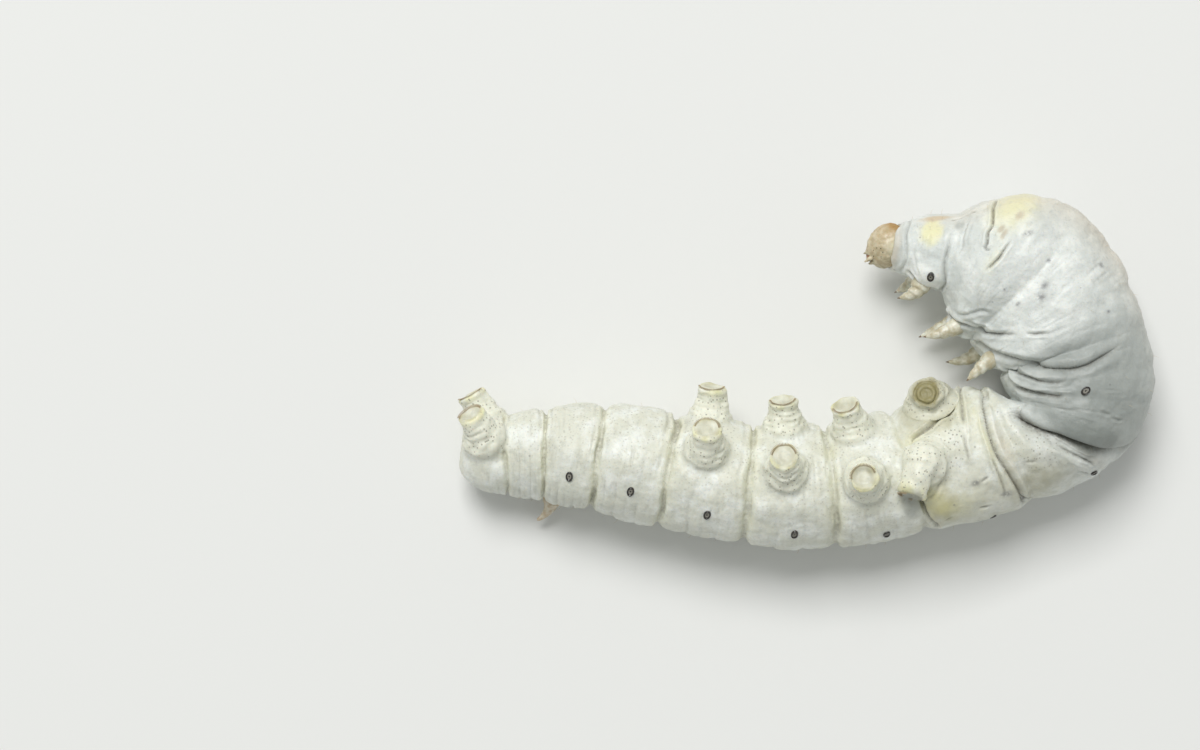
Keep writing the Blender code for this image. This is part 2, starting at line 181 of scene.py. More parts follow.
def fullness(s, angle):
    """The skin's distance from the middle, as a share of the plain oval."""
    belly = belly_side(angle)
    end = np.clip(np.round(s), 0, TAIL).astype(int)
    groove = GROOVES[end, 0] + (GROOVES[end, 1] - GROOVES[end, 0]) * belly
    share = 1.0 - groove * np.maximum(0.0, 1.0 - abs(s - end) / GROOVE_REACH) ** GROOVE_SHARPNESS
    u = s % 1.0
    for place, depth in ANNULETS:
        share = share - np.where(s > 1, depth * (1 - belly) * bell((u - place) / ANNULET_WIDTH), 0.0)
    off = abs(180 - abs(180 - angle) - FLANK_FOLD_ANGLE) / FLANK_FOLD_WIDTH
    swing = np.where(abs(s - BRIDGED_JOINT) < 0.5, 1.0, np.sqrt(np.maximum(0.0, np.sin(math.pi * u))))
    fold = FLANK_FOLD_HEIGHT * bell(off) * swing
    share = share + np.where(s > ABDOMEN, fold, 0.0)
    past = np.maximum(0.0, s - (TAIL - 1) - TAIL_SHOULDER) / (1.0 - TAIL_SHOULDER)
    return share * np.sqrt(np.maximum(0.0, 1.0 - past**2))


def skin_point(s, angle, proud=0.0):
    """Points of the plain skin, or points that stand proud of it. The floor flattens them."""
    s, angle = np.broadcast_arrays(np.asarray(s, float), np.asarray(angle, float) % 360)
    middle, _, back, left, depth, width = body_at(s)
    turn, full = np.radians(angle), fullness(s, angle)
    high = ((depth * full + proud) * np.cos(turn))[..., None]
    wide = ((width * full + proud) * np.sin(turn))[..., None]
    points = middle + back * high + left * wide
    points[..., 2] = np.maximum(points[..., 2], -np.asarray(proud))
    return points


RINGS_PER_SEGMENT, POINTS_ROUND = 34, 160
NECK_STEPS, NECK_LIP, NECK_SHRINK = 8, 0.16, 0.16
ring_places = np.minimum(np.arange(TAIL * RINGS_PER_SEGMENT + 1) / RINGS_PER_SEGMENT, TAIL - TAIL_TIP)
ring_angles = np.arange(POINTS_ROUND) * 360.0 / POINTS_ROUND
body_rings = skin_point(ring_places[:, None], ring_angles[None, :])
# The skin rolls in round the neck, in a quarter turn towards the head.
neck_middle, neck_tail, neck_back, head_left = body_at(0.0)[:4]
neck_turns = np.linspace(math.pi / 2, 0, NECK_STEPS, endpoint=False)[:, None, None]
neck_rings = neck_middle + (body_rings[0] - neck_middle) * (1 - NECK_SHRINK * (1 - np.cos(neck_turns)))
neck_rings = neck_rings - neck_tail * NECK_LIP * np.sin(neck_turns)
body_rings = np.concatenate([neck_rings, body_rings])
ring_places = np.concatenate([np.zeros(NECK_STEPS), ring_places])
print("body rings:", body_rings.shape[0], "points round:", body_rings.shape[1])

# %% [markdown]
# ## Closed forms from rings
# The body, a proleg, a leg, a hair and a breathing hole are all rings of points, one after another. A single
# helper joins neighbouring rings with faces and closes both ends, so that every piece is a sealed skin with
# no loose faces.


# %% Lofting
def unit(vectors):
    """The same ways at length one."""
    vectors = np.asarray(vectors, float)
    return vectors / np.maximum(np.linalg.norm(vectors, axis=-1, keepdims=True), 1e-12)


def lofted(rings, start=None, end=None):
    """Points and faces of a closed skin over rings of equally many points. Each end closes on a point."""
    rings = np.asarray(rings, float)
    rows, count = rings.shape[:2]
    ends = [rings[0].mean(0) if start is None else start, rings[-1].mean(0) if end is None else end]
    points = np.concatenate([rings.reshape(-1, 3), ends])
    row, i = np.meshgrid(np.arange(rows - 1) * count, np.arange(count), indexing="ij")
    j = (i + 1) % count
    sides = np.stack([row + i, row + j, row + count + j, row + count + i], -1).reshape(-1, 4)
    first, last, turn = rows * count, rows * count + 1, np.arange(count)
    onward = (turn + 1) % count
    caps = [(first, b, a) for a, b in zip(turn, onward)]
    caps += [(last, first - count + a, first - count + b) for a, b in zip(turn, onward)]
    return points, [tuple(map(int, face)) for face in sides] + [tuple(map(int, face)) for face in caps]


def merged(parts):
    """Several (points, faces) as one."""
    points, faces, base = [], [], 0
    for some_points, some_faces in parts:
        points.append(some_points)
        faces += [tuple(k + base for k in face) for face in some_faces]
        base += len(some_points)
    return np.concatenate(points), faces


def square_to(way, hint):
    """Two ways square to this one, the first as near the hint as can be."""
    side = unit(hint - way * np.dot(way, hint))
    return side, np.cross(way, side)


def oval(centre, side, other, half, other_half, count):
    """Points of an oval ring that runs from side to other."""
    turns = np.arange(count) * 2 * math.pi / count
    return centre + np.outer(np.cos(turns) * half, side) + np.outer(np.sin(turns) * other_half, other)


body = lofted(body_rings)
print("the plain body:", len(body[0]), "points,", len(body[1]), "faces")

# %% [markdown]
# ## The prolegs
# Below the abdomen the larva has fleshy prolegs: a pair on segments three to six, and the claspers at the
# tail. Each is a stubby cone of the same soft skin, wrinkled in rings and ending in a dished sole. They are
# lofted along a short bent line that leaves the body squarely and turns towards the limb's aim, as in the
# measured model.

# %% Soft limbs
Limb = namedtuple("Limb", "name segment place angle aim")
LEFT_PROLEGS = (
    Limb("left_proleg_1", 5, 0.88, 164, (1.7, -0.4, 2.2)),
    Limb("left_proleg_2", 6, 0.58, 153, (0.3, 2.2, 0.9)),
    Limb("left_proleg_3", 7, 0.58, 153, (0.3, 2.3, 0.7)),
    Limb("left_proleg_4", 8, 0.58, 153, (0.3, 2.3, 0.6)),
    Limb("left_clasper", 12, 0.42, 145, (0.9, 2.1, 0.4)),
)
RIGHT_PROLEG_1 = Limb("right_proleg_1", 5, 0.62, 225, (0.3, 2.5, -0.1))
HORN = Limb("caudal_horn", 10, 0.80, 0, (1.1, -1.7, 0.0))
PROLEG_HALF, HORN_HALF, LEG_HALF = 1.55, 0.62, 0.64
GAP, ROOT_DEPTH = 0.25, 0.9
PROLEG_POINTS, PROLEG_STEPS = 56, 72
# (share of the length, share of the thickness), from the root over the flesh to the rim and the dished sole.
PROLEG_OUTLINE = (
    (0.0, 1.20), (0.08, 1.12), (0.16, 1.05), (0.24, 0.98), (0.30, 0.91), (0.36, 0.90), (0.43, 0.88),
    (0.50, 0.82), (0.56, 0.78), (0.62, 0.77), (0.69, 0.75), (0.76, 0.73), (0.82, 0.73), (0.88, 0.75),
    (0.93, 0.75), (0.97, 0.72), (0.99, 0.66), (1.0, 0.58), (0.985, 0.50), (0.955, 0.42), (0.93, 0.34),
    (0.93, 0.27), (0.945, 0.18), (0.95, 0.08),
)
# The first one on the right has drawn its sole in: a small round sole inside the rim, seen end on.
DRAWN_IN_OUTLINE = (
    (0.0, 1.30), (0.10, 1.26), (0.20, 1.20), (0.30, 1.12), (0.40, 1.03), (0.48, 0.95), (0.54, 0.88),
    (0.59, 0.85), (0.66, 0.85), (0.75, 0.85), (0.82, 0.81), (0.86, 0.74), (0.86, 0.67), (0.835, 0.61),
    (0.825, 0.56), (0.85, 0.52), (0.91, 0.49), (0.95, 0.45), (0.96, 0.38), (0.94, 0.32), (0.91, 0.28),
    (0.92, 0.22), (0.94, 0.15), (0.93, 0.07),
)
SOLE_SHARE, DISC_SHARE = 0.66, 0.38


def mirrored(plan, more=(0.0, 0.0, 0.0)):
    """The same limb on the right, reaching a little more."""
    aim = tuple(np.add(plan.aim, more))
    return plan._replace(name=plan.name.replace("left", "right"), angle=360 - plan.angle, aim=aim)


def skin_ways(s, angle):
    """Ways out of the plain skin, and along it towards the tail."""
    ds, turn = 0.03, 3.0
    tailward = skin_point(s + ds, angle) - skin_point(s - ds, angle)
    around = skin_point(s, angle + turn) - skin_point(s, angle - turn)
    return unit(np.cross(around, tailward)), unit(tailward)


def limb_line(plan):
    """Root, reach and aim of a limb, with the ways out of the skin and towards the tail there."""
    s, angle = plan.segment + plan.place, plan.angle % 360
    out, tailward = skin_ways(s, angle)
    _, tail, back, left, _, _ = body_at(s)
    own_side = left if angle < 180 else -left
    aim = tail * plan.aim[0] - back * plan.aim[1] + own_side * plan.aim[2]
    return skin_point(s, angle, GAP), aim, out, tailward


def limb_rings(plan, half, outline, count, steps):
    """Rings of a limb that leaves the skin squarely and then bends to its aim."""
    root, aim, out, tailward = limb_line(plan)
    outline = along(outline, np.linspace(0, len(outline) - 1, steps))
    side, other = square_to(out, tailward)
    rings = [oval(root - out * ROOT_DEPTH, side, other, half * outline[0, 1], half * outline[0, 1], count)]
    for length, thickness in outline:
        way = unit(out * (1 - length) + unit(aim) * length)
        middle = root + out * (1 - length) * length * np.linalg.norm(aim) + aim * length**2
        side, other = square_to(way, tailward)
        rings.append(oval(middle, side, other, half * thickness, half * thickness, count))
    return np.array(rings)


prolegs = []
for plan in LEFT_PROLEGS:
    prolegs += [plan, RIGHT_PROLEG_1 if plan.segment == RIGHT_PROLEG_1.segment else mirrored(plan)]
proleg_forms = []
for plan in prolegs:
    outline = DRAWN_IN_OUTLINE if plan == RIGHT_PROLEG_1 else PROLEG_OUTLINE
    proleg_forms.append(lofted(limb_rings(plan, PROLEG_HALF, outline, PROLEG_POINTS, PROLEG_STEPS)))
print("prolegs:", ", ".join(plan.name for plan in prolegs))

# %% [markdown]
# ## One skin
# In life there is no seam between segments or round a proleg, so all the soft forms become one skin. The
# Remesh modifier in voxel mode does this: it fills the joined forms with tiny cells and draws a new even skin
# round them. Blender's voxels can't be much under a tenth of a unit, so the work is done with one unit for
# each millimetre.

# %% Joining the soft forms
VOXEL = 0.08


def remeshed(points, faces, voxel):
    """Points and four-sided faces of one even skin round these forms."""
    mesh = bpy.data.meshes.new("rough_skin")
    mesh.from_pydata(points.tolist(), [], faces)
    rough = bpy.data.objects.new("rough_skin", mesh)
    bpy.context.scene.collection.objects.link(rough)
    change = rough.modifiers.new("voxels", "REMESH")
    change.mode, change.voxel_size, change.adaptivity = "VOXEL", voxel, 0.0
    bpy.context.view_layer.update()
    done = rough.evaluated_get(bpy.context.evaluated_depsgraph_get()).to_mesh()
    new_points = np.empty(len(done.vertices) * 3)
    done.vertices.foreach_get("co", new_points)
    corners = np.empty(len(done.loops), int)
    done.loops.foreach_get("vertex_index", corners)
    bpy.data.objects.remove(rough)
    return new_points.reshape(-1, 3), corners.reshape(-1, 4)


skin, quads = remeshed(*merged([body, *proleg_forms]), VOXEL)
print("skin points:", len(skin), "box in mm:", skin.min(0).round(2), skin.max(0).round(2))

# %% [markdown]
# The voxels leave tiny steps, and a sharp corner where a proleg meets the body. Easing fixes both: each point
# moves towards the average of its neighbours, a little everywhere, and many times near the roots, where flesh
# runs over from body to limb in a soft hollow.

# %% Easing the skin
EDGE_ENDS = np.concatenate([quads[:, [k, (k + 1) % 4]] for k in range(4)])
NEIGHBOURS = np.maximum(np.bincount(EDGE_ENDS[:, 0], minlength=len(skin)), 1)


def neighbour_mean(values):
    """Each point's value averaged over its neighbours."""
    flat = values.reshape(len(values), -1)
    sums = [np.bincount(EDGE_ENDS[:, 0], flat[EDGE_ENDS[:, 1], k], len(flat)) for k in range(flat.shape[1])]
    return (np.stack(sums, -1) / NEIGHBOURS[:, None]).reshape(values.shape)


def eased(values, weight, rounds):
    """Values drawn towards their neighbours, where the weight is above zero."""
    weight = np.asarray(weight, float)
    weight = weight[:, None] if weight.ndim and values.ndim > 1 else weight
    for _ in range(rounds):
        values = values + weight * (neighbour_mean(values) - values)
    return values


def normals_of(points):
    """Ways out of the skin at each point."""
    across = points[quads[:, 2]] - points[quads[:, 0]]
    other = points[quads[:, 3]] - points[quads[:, 1]]
    facing = np.cross(across, other)
    total = np.zeros_like(points)
    for k in range(4):
        for axis in range(3):
            total[:, axis] += np.bincount(quads[:, k], facing[:, axis], len(points))
    return unit(total)


def nearest_on(form, points):
    """Distances from the points to a closed form, and the nearest place and face of each."""
    tree = BVHTree.FromPolygons(form[0].tolist(), form[1])
    found = [tree.find_nearest(p) for p in points.tolist()]
    places = np.array([hit[0] for hit in found])
    return np.linalg.norm(places - points, axis=1), places, np.array([hit[2] for hit in found])


off_body, body_places, body_faces = nearest_on(body, skin)
FAR, LIMB_MARGIN = 9.0, 1.0
off_limb, limb_share = np.full(len(skin), FAR), np.zeros(len(skin))
for form in proleg_forms:
    low, high = form[0].min(0) - LIMB_MARGIN, form[0].max(0) + LIMB_MARGIN
    near = np.flatnonzero(np.all((skin > low) & (skin < high), axis=1))
    gap, _, faces = nearest_on(form, skin[near])
    closer = gap < off_limb[near]
    off_limb[near[closer]] = gap[closer]
    limb_share[near[closer]] = np.minimum(faces[closer] // PROLEG_POINTS / PROLEG_STEPS, 1.0)
ROOT_REACH, ROOT_EASING = 0.42, 3.0
root_share = bell(off_body / ROOT_REACH) * bell(off_limb / ROOT_REACH)
skin = eased(skin, 0.30, 2)
skin = eased(skin, np.clip(root_share, 0, 0.9), int(ROOT_EASING / VOXEL))
print("points eased at the roots:", int((root_share > 0.3).sum()))

# %% [markdown]
# ## Where each point lies on the body
# The new skin has forgotten which segment a point belongs to. The nearest face of the plain body tells it
# again: its place between two rings gives s, and its place between two points of a ring gives the angle.

# %% Finding the places again
last_face = (len(ring_places) - 1) * POINTS_ROUND - 1
face_row, face_turn = np.divmod(np.minimum(body_faces, last_face), POINTS_ROUND)
corner = body_rings[face_row, face_turn]


def share_towards(next_corner):
    """How far the nearest places lie from their face's corner towards the next one, from 0 to 1."""
    side = next_corner - corner
    reached = np.einsum("ij,ij->i", body_places - corner, side)
    return np.clip(reached / (side**2).sum(1).clip(1e-9), 0, 1)


share_on = share_towards(body_rings[face_row + 1, face_turn])
share_round = share_towards(body_rings[face_row, (face_turn + 1) % POINTS_ROUND])
skin_s = ring_places[face_row] + share_on * (ring_places[face_row + 1] - ring_places[face_row])
skin_angle = (ring_angles[face_turn] + share_round * 360.0 / POINTS_ROUND) % 360
LIMB_START, LIMB_BLEND = 0.12, 0.5
on_limb = np.clip((off_body - LIMB_START) / LIMB_BLEND, 0, 1)
on_limb = eased(on_limb, 0.5, 6)
print("points on the body:", int((on_limb < 0.5).sum()), "on the prolegs:", int((on_limb >= 0.5).sum()))

# %% [markdown]
# ## Folds and rolls
# Where the body bends, the skin is squeezed into rolls with creases between them, and they run together at
# the root of each leg. Each fold is a short line of places on the body with a depth, a width and the height
# of its swollen lips. The skin sinks along the line and rises beside it, fading out at both ends. A ridge is
# such a fold turned outwards. Dark says how much brown is laid along the crease, part dirt and part painted
# shade. A fold that leans is steep on one side, where the skin hangs over it: the part in front hangs over
# where lean is above zero, and the part behind where it is below.

# %% The folds of the front
Fold = namedtuple("Fold", "depth width lips dark fade places lean", defaults=(0.0,))


def ridge(height, width, fade, places):
    """A thin roll: a fold turned outwards, with no lips and no dark tint in the crease."""
    return Fold(-height, width, 0.0, 0.0, fade, places)


FRONT_FOLDS = (
    # The collar, the lobe round the first breathing hole, and the joint of the first two segments.
    Fold(0.14, 0.16, 0.08, 0.4, (0.1, 0.1), ((0.16, -20), (0.17, 10), (0.11, 50), (0.18, 95), (0.14, 150))),
    Fold(0.07, 0.14, 0.04, 0.2, (0.4, 0.3), ((0.34, 55), (0.31, 80), (0.40, 105), (0.50, 118), (0.58, 128))),
    Fold(0.30, 0.20, 0.12, 0.6, (0.2, 0.1),
         ((0.22, 124), (0.40, 136), (0.62, 144), (0.82, 148), (0.98, 149))),
    Fold(0.20, 0.17, 0.12, 0.5, (0.3, 0.1),
         ((0.93, 30), (0.90, 60), (0.89, 79), (0.90, 99), (0.97, 118), (1.01, 128), (0.99, 145),
          (0.99, 165)), lean=0.2),
    Fold(0.22, 0.14, 0.08, 1.0, (0.2, 0.2), ((0.86, 19), (0.97, 16), (1.07, 15), (1.17, 16))),
    # Wrinkles over the back of the second segment.
    Fold(0.10, 0.13, 0.05, 0.4, (0.2, 0.4), ((1.10, 29), (1.08, 42), (1.07, 55), (1.08, 72), (1.05, 88))),
    Fold(0.36, 0.14, 0.18, 1.0, (0.1, 0.15),
         ((1.31, -4), (1.28, 20), (1.30, 39), (1.31, 50), (1.295, 57), (1.32, 68), (1.32, 75)), lean=0.3),
    Fold(0.14, 0.12, 0.05, 0.7, (0.1, 0.3), ((1.31, 71), (1.35, 75), (1.39, 74))),
    Fold(0.28, 0.14, 0.16, 0.9, (0.3, 0.25),
         ((1.56, 64), (1.52, 75), (1.51, 81), (1.48, 87), (1.43, 96)), lean=0.3),
    # The rolls above the middle legs, with a pale lens of skin between their creases.
    ridge(0.42, 0.34, (0.05, 0.2), ((1.19, 168), (1.45, 167), (1.76, 166), (2.05, 164), (2.22, 160))),
    ridge(0.30, 0.55, (0.3, 0.3), ((2.10, 158), (2.40, 150), (2.62, 140), (2.88, 124), (3.00, 106))),
    Fold(0.36, 0.22, 0.10, 0.8, (0.05, 0.25),
         ((1.19, 175), (1.40, 161), (1.58, 152), (1.80, 150), (2.05, 149), (2.25, 141), (2.40, 131),
          (2.48, 122)), lean=-0.2),
    ridge(0.26, 0.26, (0.35, 0.35), ((1.60, 142), (1.78, 139), (2.00, 140), (2.18, 137))),
    Fold(0.14, 0.20, 0.05, 0.3, (0.3, 0.3), ((1.28, 152), (1.50, 139), (1.75, 128), (2.00, 129))),
    Fold(0.20, 0.15, 0.10, 0.8, (0.35, 0.35), ((2.50, 121), (2.57, 117), (2.62, 112), (2.68, 105))),
    # The third segment hangs over the next one, round the flank. Thin rolls run out below it.
    Fold(0.50, 0.32, 0.12, 0.7, (0.05, 0.25),
         ((1.95, 168), (2.36, 156), (2.68, 143), (2.95, 131), (3.10, 121), (3.20, 108), (3.21, 94),
          (3.16, 82), (3.12, 70), (3.06, 55)), lean=0.5),
    ridge(0.28, 0.20, (0.2, 0.3), ((2.84, 157), (2.99, 148), (3.14, 139), (3.28, 128), (3.31, 112))),
    Fold(0.28, 0.16, 0.06, 0.9, (0.2, 0.3),
         ((2.90, 160), (3.08, 150), (3.22, 140), (3.35, 130), (3.41, 118), (3.37, 108))),
    ridge(0.38, 0.26, (0.15, 0.3),
          ((2.72, 162), (3.08, 157), (3.30, 151), (3.44, 144), (3.52, 134), (3.53, 123))),
    ridge(0.22, 0.20, (0.3, 0.3), ((3.55, 126), (3.565, 118), (3.56, 109))),
    Fold(0.40, 0.24, 0.06, 0.9, (0.2, 0.3),
         ((3.36, 160), (3.52, 151), (3.62, 140), (3.66, 130), (3.62, 119))),
    Fold(0.11, 0.14, 0.06, 0.2, (0.4, 0.4), ((3.80, 108), (3.83, 100), (3.83, 94))),
    Fold(0.09, 0.13, 0.06, 0.2, (0.4, 0.4), ((3.86, 98), (3.88, 90), (3.87, 82))),
)
print("folds in front:", len(FRONT_FOLDS))

# %% [markdown]
# Behind the first abdominal segment the body turns over, so that the belly comes up. The outer part hangs
# over the inner one in a deep pocket there, and the next joints open into smooth strips with fine ridges
# along them.

# %% The folds of the turned part
TURNED_FOLDS = (
    # The pocket, with a thin roll inside it.
    Fold(1.25, 0.62, 0.12, 1.0, (0.05, 0.15),
         ((4.44, 200), (4.49, 184), (4.48, 171), (4.39, 155), (4.33, 137), (4.28, 122), (4.22, 99),
          (4.09, 68), (3.99, 42)), lean=0.9),
    ridge(0.34, 0.17, (0.3, 0.3), ((4.54, 160), (4.48, 146), (4.46, 135), (4.41, 118), (4.36, 106))),
    Fold(0.26, 0.14, 0.08, 0.9, (0.3, 0.3), ((4.58, 152), (4.55, 140), (4.50, 126), (4.46, 112), (4.45, 96))),
    ridge(0.16, 0.26, (0.3, 0.3), ((4.70, 157), (4.64, 145), (4.59, 134), (4.55, 117), (4.47, 92))),
    Fold(0.12, 0.12, 0.06, 0.4, (0.3, 0.3), ((4.60, 112), (4.55, 101), (4.53, 90))),
    Fold(0.10, 0.14, 0.03, 0.5, (0.4, 0.4), ((4.96, 144), (4.90, 142), (4.84, 142))),
    # The next joint, its fork, and the strip with a ridge on each side.
    Fold(0.54, 0.25, 0.18, 0.9, (0.1, 0.12),
         ((4.91, 246), (5.08, 216), (5.17, 191), (5.20, 173), (5.20, 158), (5.16, 143), (5.13, 130),
          (5.11, 116), (5.10, 96), (5.06, 78)), lean=-0.4),
    Fold(0.28, 0.18, 0.08, 0.9, (0.2, 0.3), ((5.11, 110), (5.04, 93), (4.96, 78))),
    Fold(0.14, 0.14, 0.06, 0.7, (0.2, 0.2), ((5.25, 162), (5.24, 146), (5.23, 132), (5.23, 120))),
    ridge(0.20, 0.13, (0.2, 0.3), ((5.20, 202), (5.25, 185), (5.26, 167), (5.27, 150), (5.24, 136))),
    ridge(0.15, 0.13, (0.2, 0.3), ((5.30, 212), (5.335, 198), (5.37, 187), (5.39, 175))),
    Fold(0.28, 0.16, 0.10, 0.8, (0.15, 0.2),
         ((5.20, 252), (5.27, 239), (5.33, 215), (5.37, 202), (5.395, 191))),
    Fold(0.14, 0.13, 0.08, 0.6, (0.3, 0.3), ((5.41, 186), (5.44, 176), (5.45, 166), (5.455, 156))),
    Fold(0.18, 0.14, 0.08, 0.6, (0.2, 0.3), ((5.28, 252), (5.34, 244), (5.42, 220), (5.47, 199))),
    Fold(0.12, 0.14, 0.03, 0.6, (0.4, 0.4), ((5.42, 139), (5.37, 141), (5.32, 143))),
    Fold(0.10, 0.14, 0.03, 0.6, (0.4, 0.4), ((5.50, 111), (5.43, 112), (5.35, 113))),
    Fold(0.10, 0.14, 0.03, 0.5, (0.4, 0.4), ((5.83, 103), (5.78, 106), (5.72, 110))),
    # The base of the first right proleg is a lobe of its own, and creases fan out between it and the left
    # one.
    Fold(0.40, 0.20, 0.16, 0.7, (0.1, 0.2),
         ((5.93, 187), (5.86, 190), (5.71, 195), (5.61, 200), (5.50, 204), (5.44, 212))),
    Fold(0.26, 0.18, 0.08, 0.5, (0.1, 0.1), ((5.46, 205), (5.43, 216), (5.40, 230), (5.38, 250))),
    Fold(0.14, 0.14, 0.07, 0.6, (0.2, 0.4), ((5.80, 184), (5.75, 181), (5.66, 177), (5.58, 172))),
    Fold(0.30, 0.20, 0.12, 0.7, (0.1, 0.2), ((6.02, 150), (6.00, 128), (5.96, 108), (5.90, 94), (5.90, 75))),
    Fold(0.12, 0.18, 0.05, 0.3, (0.2, 0.3), ((5.97, 128), (5.86, 135), (5.78, 145), (5.72, 156))),
)
print("folds of the turned part:", len(TURNED_FOLDS))

# %% [markdown]
# A fold is pressed in by the distance of each point from its line. The crease itself is a narrow V inside a
# softer hollow, as skin has it. Beside a fold that leans, points also slide sideways, so that the skin really
# hangs over.

# %% Pressing the folds in
FOLD_STEPS, FOLD_REACH, ROW_REACH = 64, 5.0, 0.5
# The last number on the next line is the width of the brown along a crease, which is part dirt and part
# painted shade.
HOLLOW_SHARE, HOLLOW_SHARPNESS, DIRT_AND_SHADE_WIDTH = 0.62, 1.5, 0.62
CREASE_SHARE, CREASE_SHARPNESS, CREASE_WIDTH = 0.38, 1.2, 0.38
LIP_PLACE, LIP_WIDTH = 1.7, 0.85
EDGE_PLACE, EDGE_DROP, EDGE_RUN = 0.9, 0.5, 2.4
STEEPER, FLATTER, OVERHANG = 0.55, 0.9, 0.8


def smooth(t):
    """A share from 0 to 1 with soft ends."""
    t = np.clip(t, 0, 1)
    return t * t * (3 - 2 * t)


def pressed(fold, points, s):
    """For one fold: the points that it reaches, their push out, their slide sideways, and the crease."""
    places = along(np.array(fold.places, float), np.linspace(0, len(fold.places) - 1, FOLD_STEPS))
    line = skin_point(places[:, 0], places[:, 1])
    out, tailward = skin_ways(places[:, 0], places[:, 1])
    side = unit(np.cross(out, np.gradient(line, axis=0)))
    side *= np.sign((side * tailward).sum(1))[:, None]
    reach = FOLD_REACH * fold.width
    near = np.all((points > line.min(0) - reach) & (points < line.max(0) + reach), axis=1)
    near = near & (s > places[:, 0].min() - ROW_REACH) & (s < places[:, 0].max() + ROW_REACH)
    near = np.flatnonzero(near)
    apart = np.linalg.norm(points[near, None, :] - line[None, :, :], axis=2)
    nearest = apart.argmin(axis=1)
    d = apart[np.arange(len(near)), nearest] / fold.width
    behind = ((points[near] - line[nearest]) * side[nearest]).sum(1) > 0
    t = nearest / (FOLD_STEPS - 1)
    rise = smooth(t / fold.fade[0]) * smooth((1 - t) / fold.fade[1])
    lean = abs(fold.lean)
    hangs = (behind != (fold.lean > 0)) & (lean > 0)
    spread = np.where(hangs, 1 - STEEPER * lean, 1 + FLATTER * lean)
    hollow = np.exp(-((d / spread) ** HOLLOW_SHARPNESS))
    crease = np.exp(-((d / spread / CREASE_WIDTH) ** CREASE_SHARPNESS))
    lip = bell((d - LIP_PLACE * spread) / LIP_WIDTH) * (1 - 0.5 * lean)
    past_edge = d - EDGE_PLACE * spread
    edge = bell(past_edge / np.where(past_edge > 0, EDGE_RUN, EDGE_DROP))
    lip = np.where(hangs, lip * (1 - lean) + edge * lean, lip)
    push = rise * (fold.lips * lip - fold.depth * (HOLLOW_SHARE * hollow + CREASE_SHARE * crease))
    slide = rise * hangs * OVERHANG * lean * fold.width * bell((d - 0.5) / 0.5)
    slide = side[nearest] * (slide * np.sign(fold.lean))[:, None]
    return near, push, slide, rise * fold.dark * bell(d / spread / DIRT_AND_SHADE_WIDTH)


body_push, slides, creased = np.zeros(len(skin)), np.zeros_like(skin), np.zeros(len(skin))
for fold in FRONT_FOLDS + TURNED_FOLDS:
    near, push, slide, crease = pressed(fold, skin, skin_s)
    body_push[near] += push
    slides[near] += slide
    creased[near] = np.maximum(creased[near], crease)
print("deepest fold, mm:", round(-body_push.min(), 2), "highest roll:", round(body_push.max(), 2))

# %% [markdown]
# The hidden rear is plainer. Each joint there has a narrow crease round the body inside its broad dip, each
# segment has a few finer rings on the back, and the belly between the prolegs is crossed by soft folds. Flesh
# never creases evenly, so noise moves these lines to and fro, and makes them deep in one place and shallow in
# another.


# %% Creases of the rear
def noise_at(points, size, seed):
    """Blender's noise at each point, for lumps of about this size in mm."""
    shift = Vector((seed * 7.3, seed * 3.1, seed * 5.7))
    return np.array([noise.noise(Vector(p) / size + shift) for p in points.tolist()])


def wrapped(angle):
    """The same angle, from -180 to 180."""
    return (angle + 180) % 360 - 180


def lines_across(u, width, lines):
    """Narrow lines across every segment, each at its share of the segment and with its own depth."""
    return sum(depth * bell((u - place) / width) for place, depth in lines)


REAR_START, REAR_BLEND, SMOOTH_TAIL = 5.9, 0.3, 0.4
MIDDLE_START, MIDDLE_BLEND, MIDDLE_STRENGTH, BACK_EDGE, BACK_BLEND = 2.4, 0.4, 0.4, 40, 25
WANDER, WANDER_SIZE, STRENGTH_SIZE = 0.045, 2.4, 2.0
DIP_WIDTH, DIP_EASING = 0.06, 0.8
JOINT_DEPTH, JOINT_WIDTH = 0.22, 0.030
JOINT_LIP, JOINT_LIP_PLACE, JOINT_LIP_WIDTH = 0.07, 0.085, 0.035
RING_CREASES = ((0.20, 0.05), (0.335, 0.08), (0.50, 0.05), (0.655, 0.09), (0.83, 0.06))
BELLY_FOLDS = ((0.12, 0.12), (0.90, 0.14))
RING_CREASE_WIDTH, BELLY_FOLD_WIDTH = 0.020, 0.035

rear = smooth((skin_s - REAR_START) / REAR_BLEND)
at_dip = bell((skin_s - np.round(skin_s)) / DIP_WIDTH)
skin = eased(skin, rear * at_dip * 0.6 * (1 - on_limb), int(DIP_EASING / VOXEL))
wandered = skin_s + WANDER * noise_at(skin, WANDER_SIZE, 8)
strength = np.clip(0.75 + 1.5 * noise_at(skin, STRENGTH_SIZE, 9), 0.1, 1.4)
to_joint, u = wandered - np.round(wandered), wandered % 1.0
belly_share = belly_side(skin_angle)
joint_crease = JOINT_DEPTH * bell(to_joint / JOINT_WIDTH)
joint_crease = joint_crease - JOINT_LIP * bell((abs(to_joint) - JOINT_LIP_PLACE) / JOINT_LIP_WIDTH)
joint_crease = joint_crease * (0.4 + 0.6 * strength)
ring_crease = lines_across(u, RING_CREASE_WIDTH, RING_CREASES) * strength * (1 - 0.75 * belly_share)
belly_fold = lines_across(u, BELLY_FOLD_WIDTH, BELLY_FOLDS) * strength
rear_push = -rear * (joint_crease + ring_crease + belly_fold * belly_share**3) * (skin_s < TAIL - SMOOTH_TAIL)
# The back in front of the rear has the same rings, but fainter.
on_back = smooth((BACK_EDGE - abs(wrapped(skin_angle))) / BACK_BLEND)
in_middle = smooth((skin_s - MIDDLE_START) / MIDDLE_BLEND) * (1 - rear)
rear_push -= in_middle * on_back * MIDDLE_STRENGTH * ring_crease
print("rear creases up to, mm:", round(-rear_push.min(), 2))

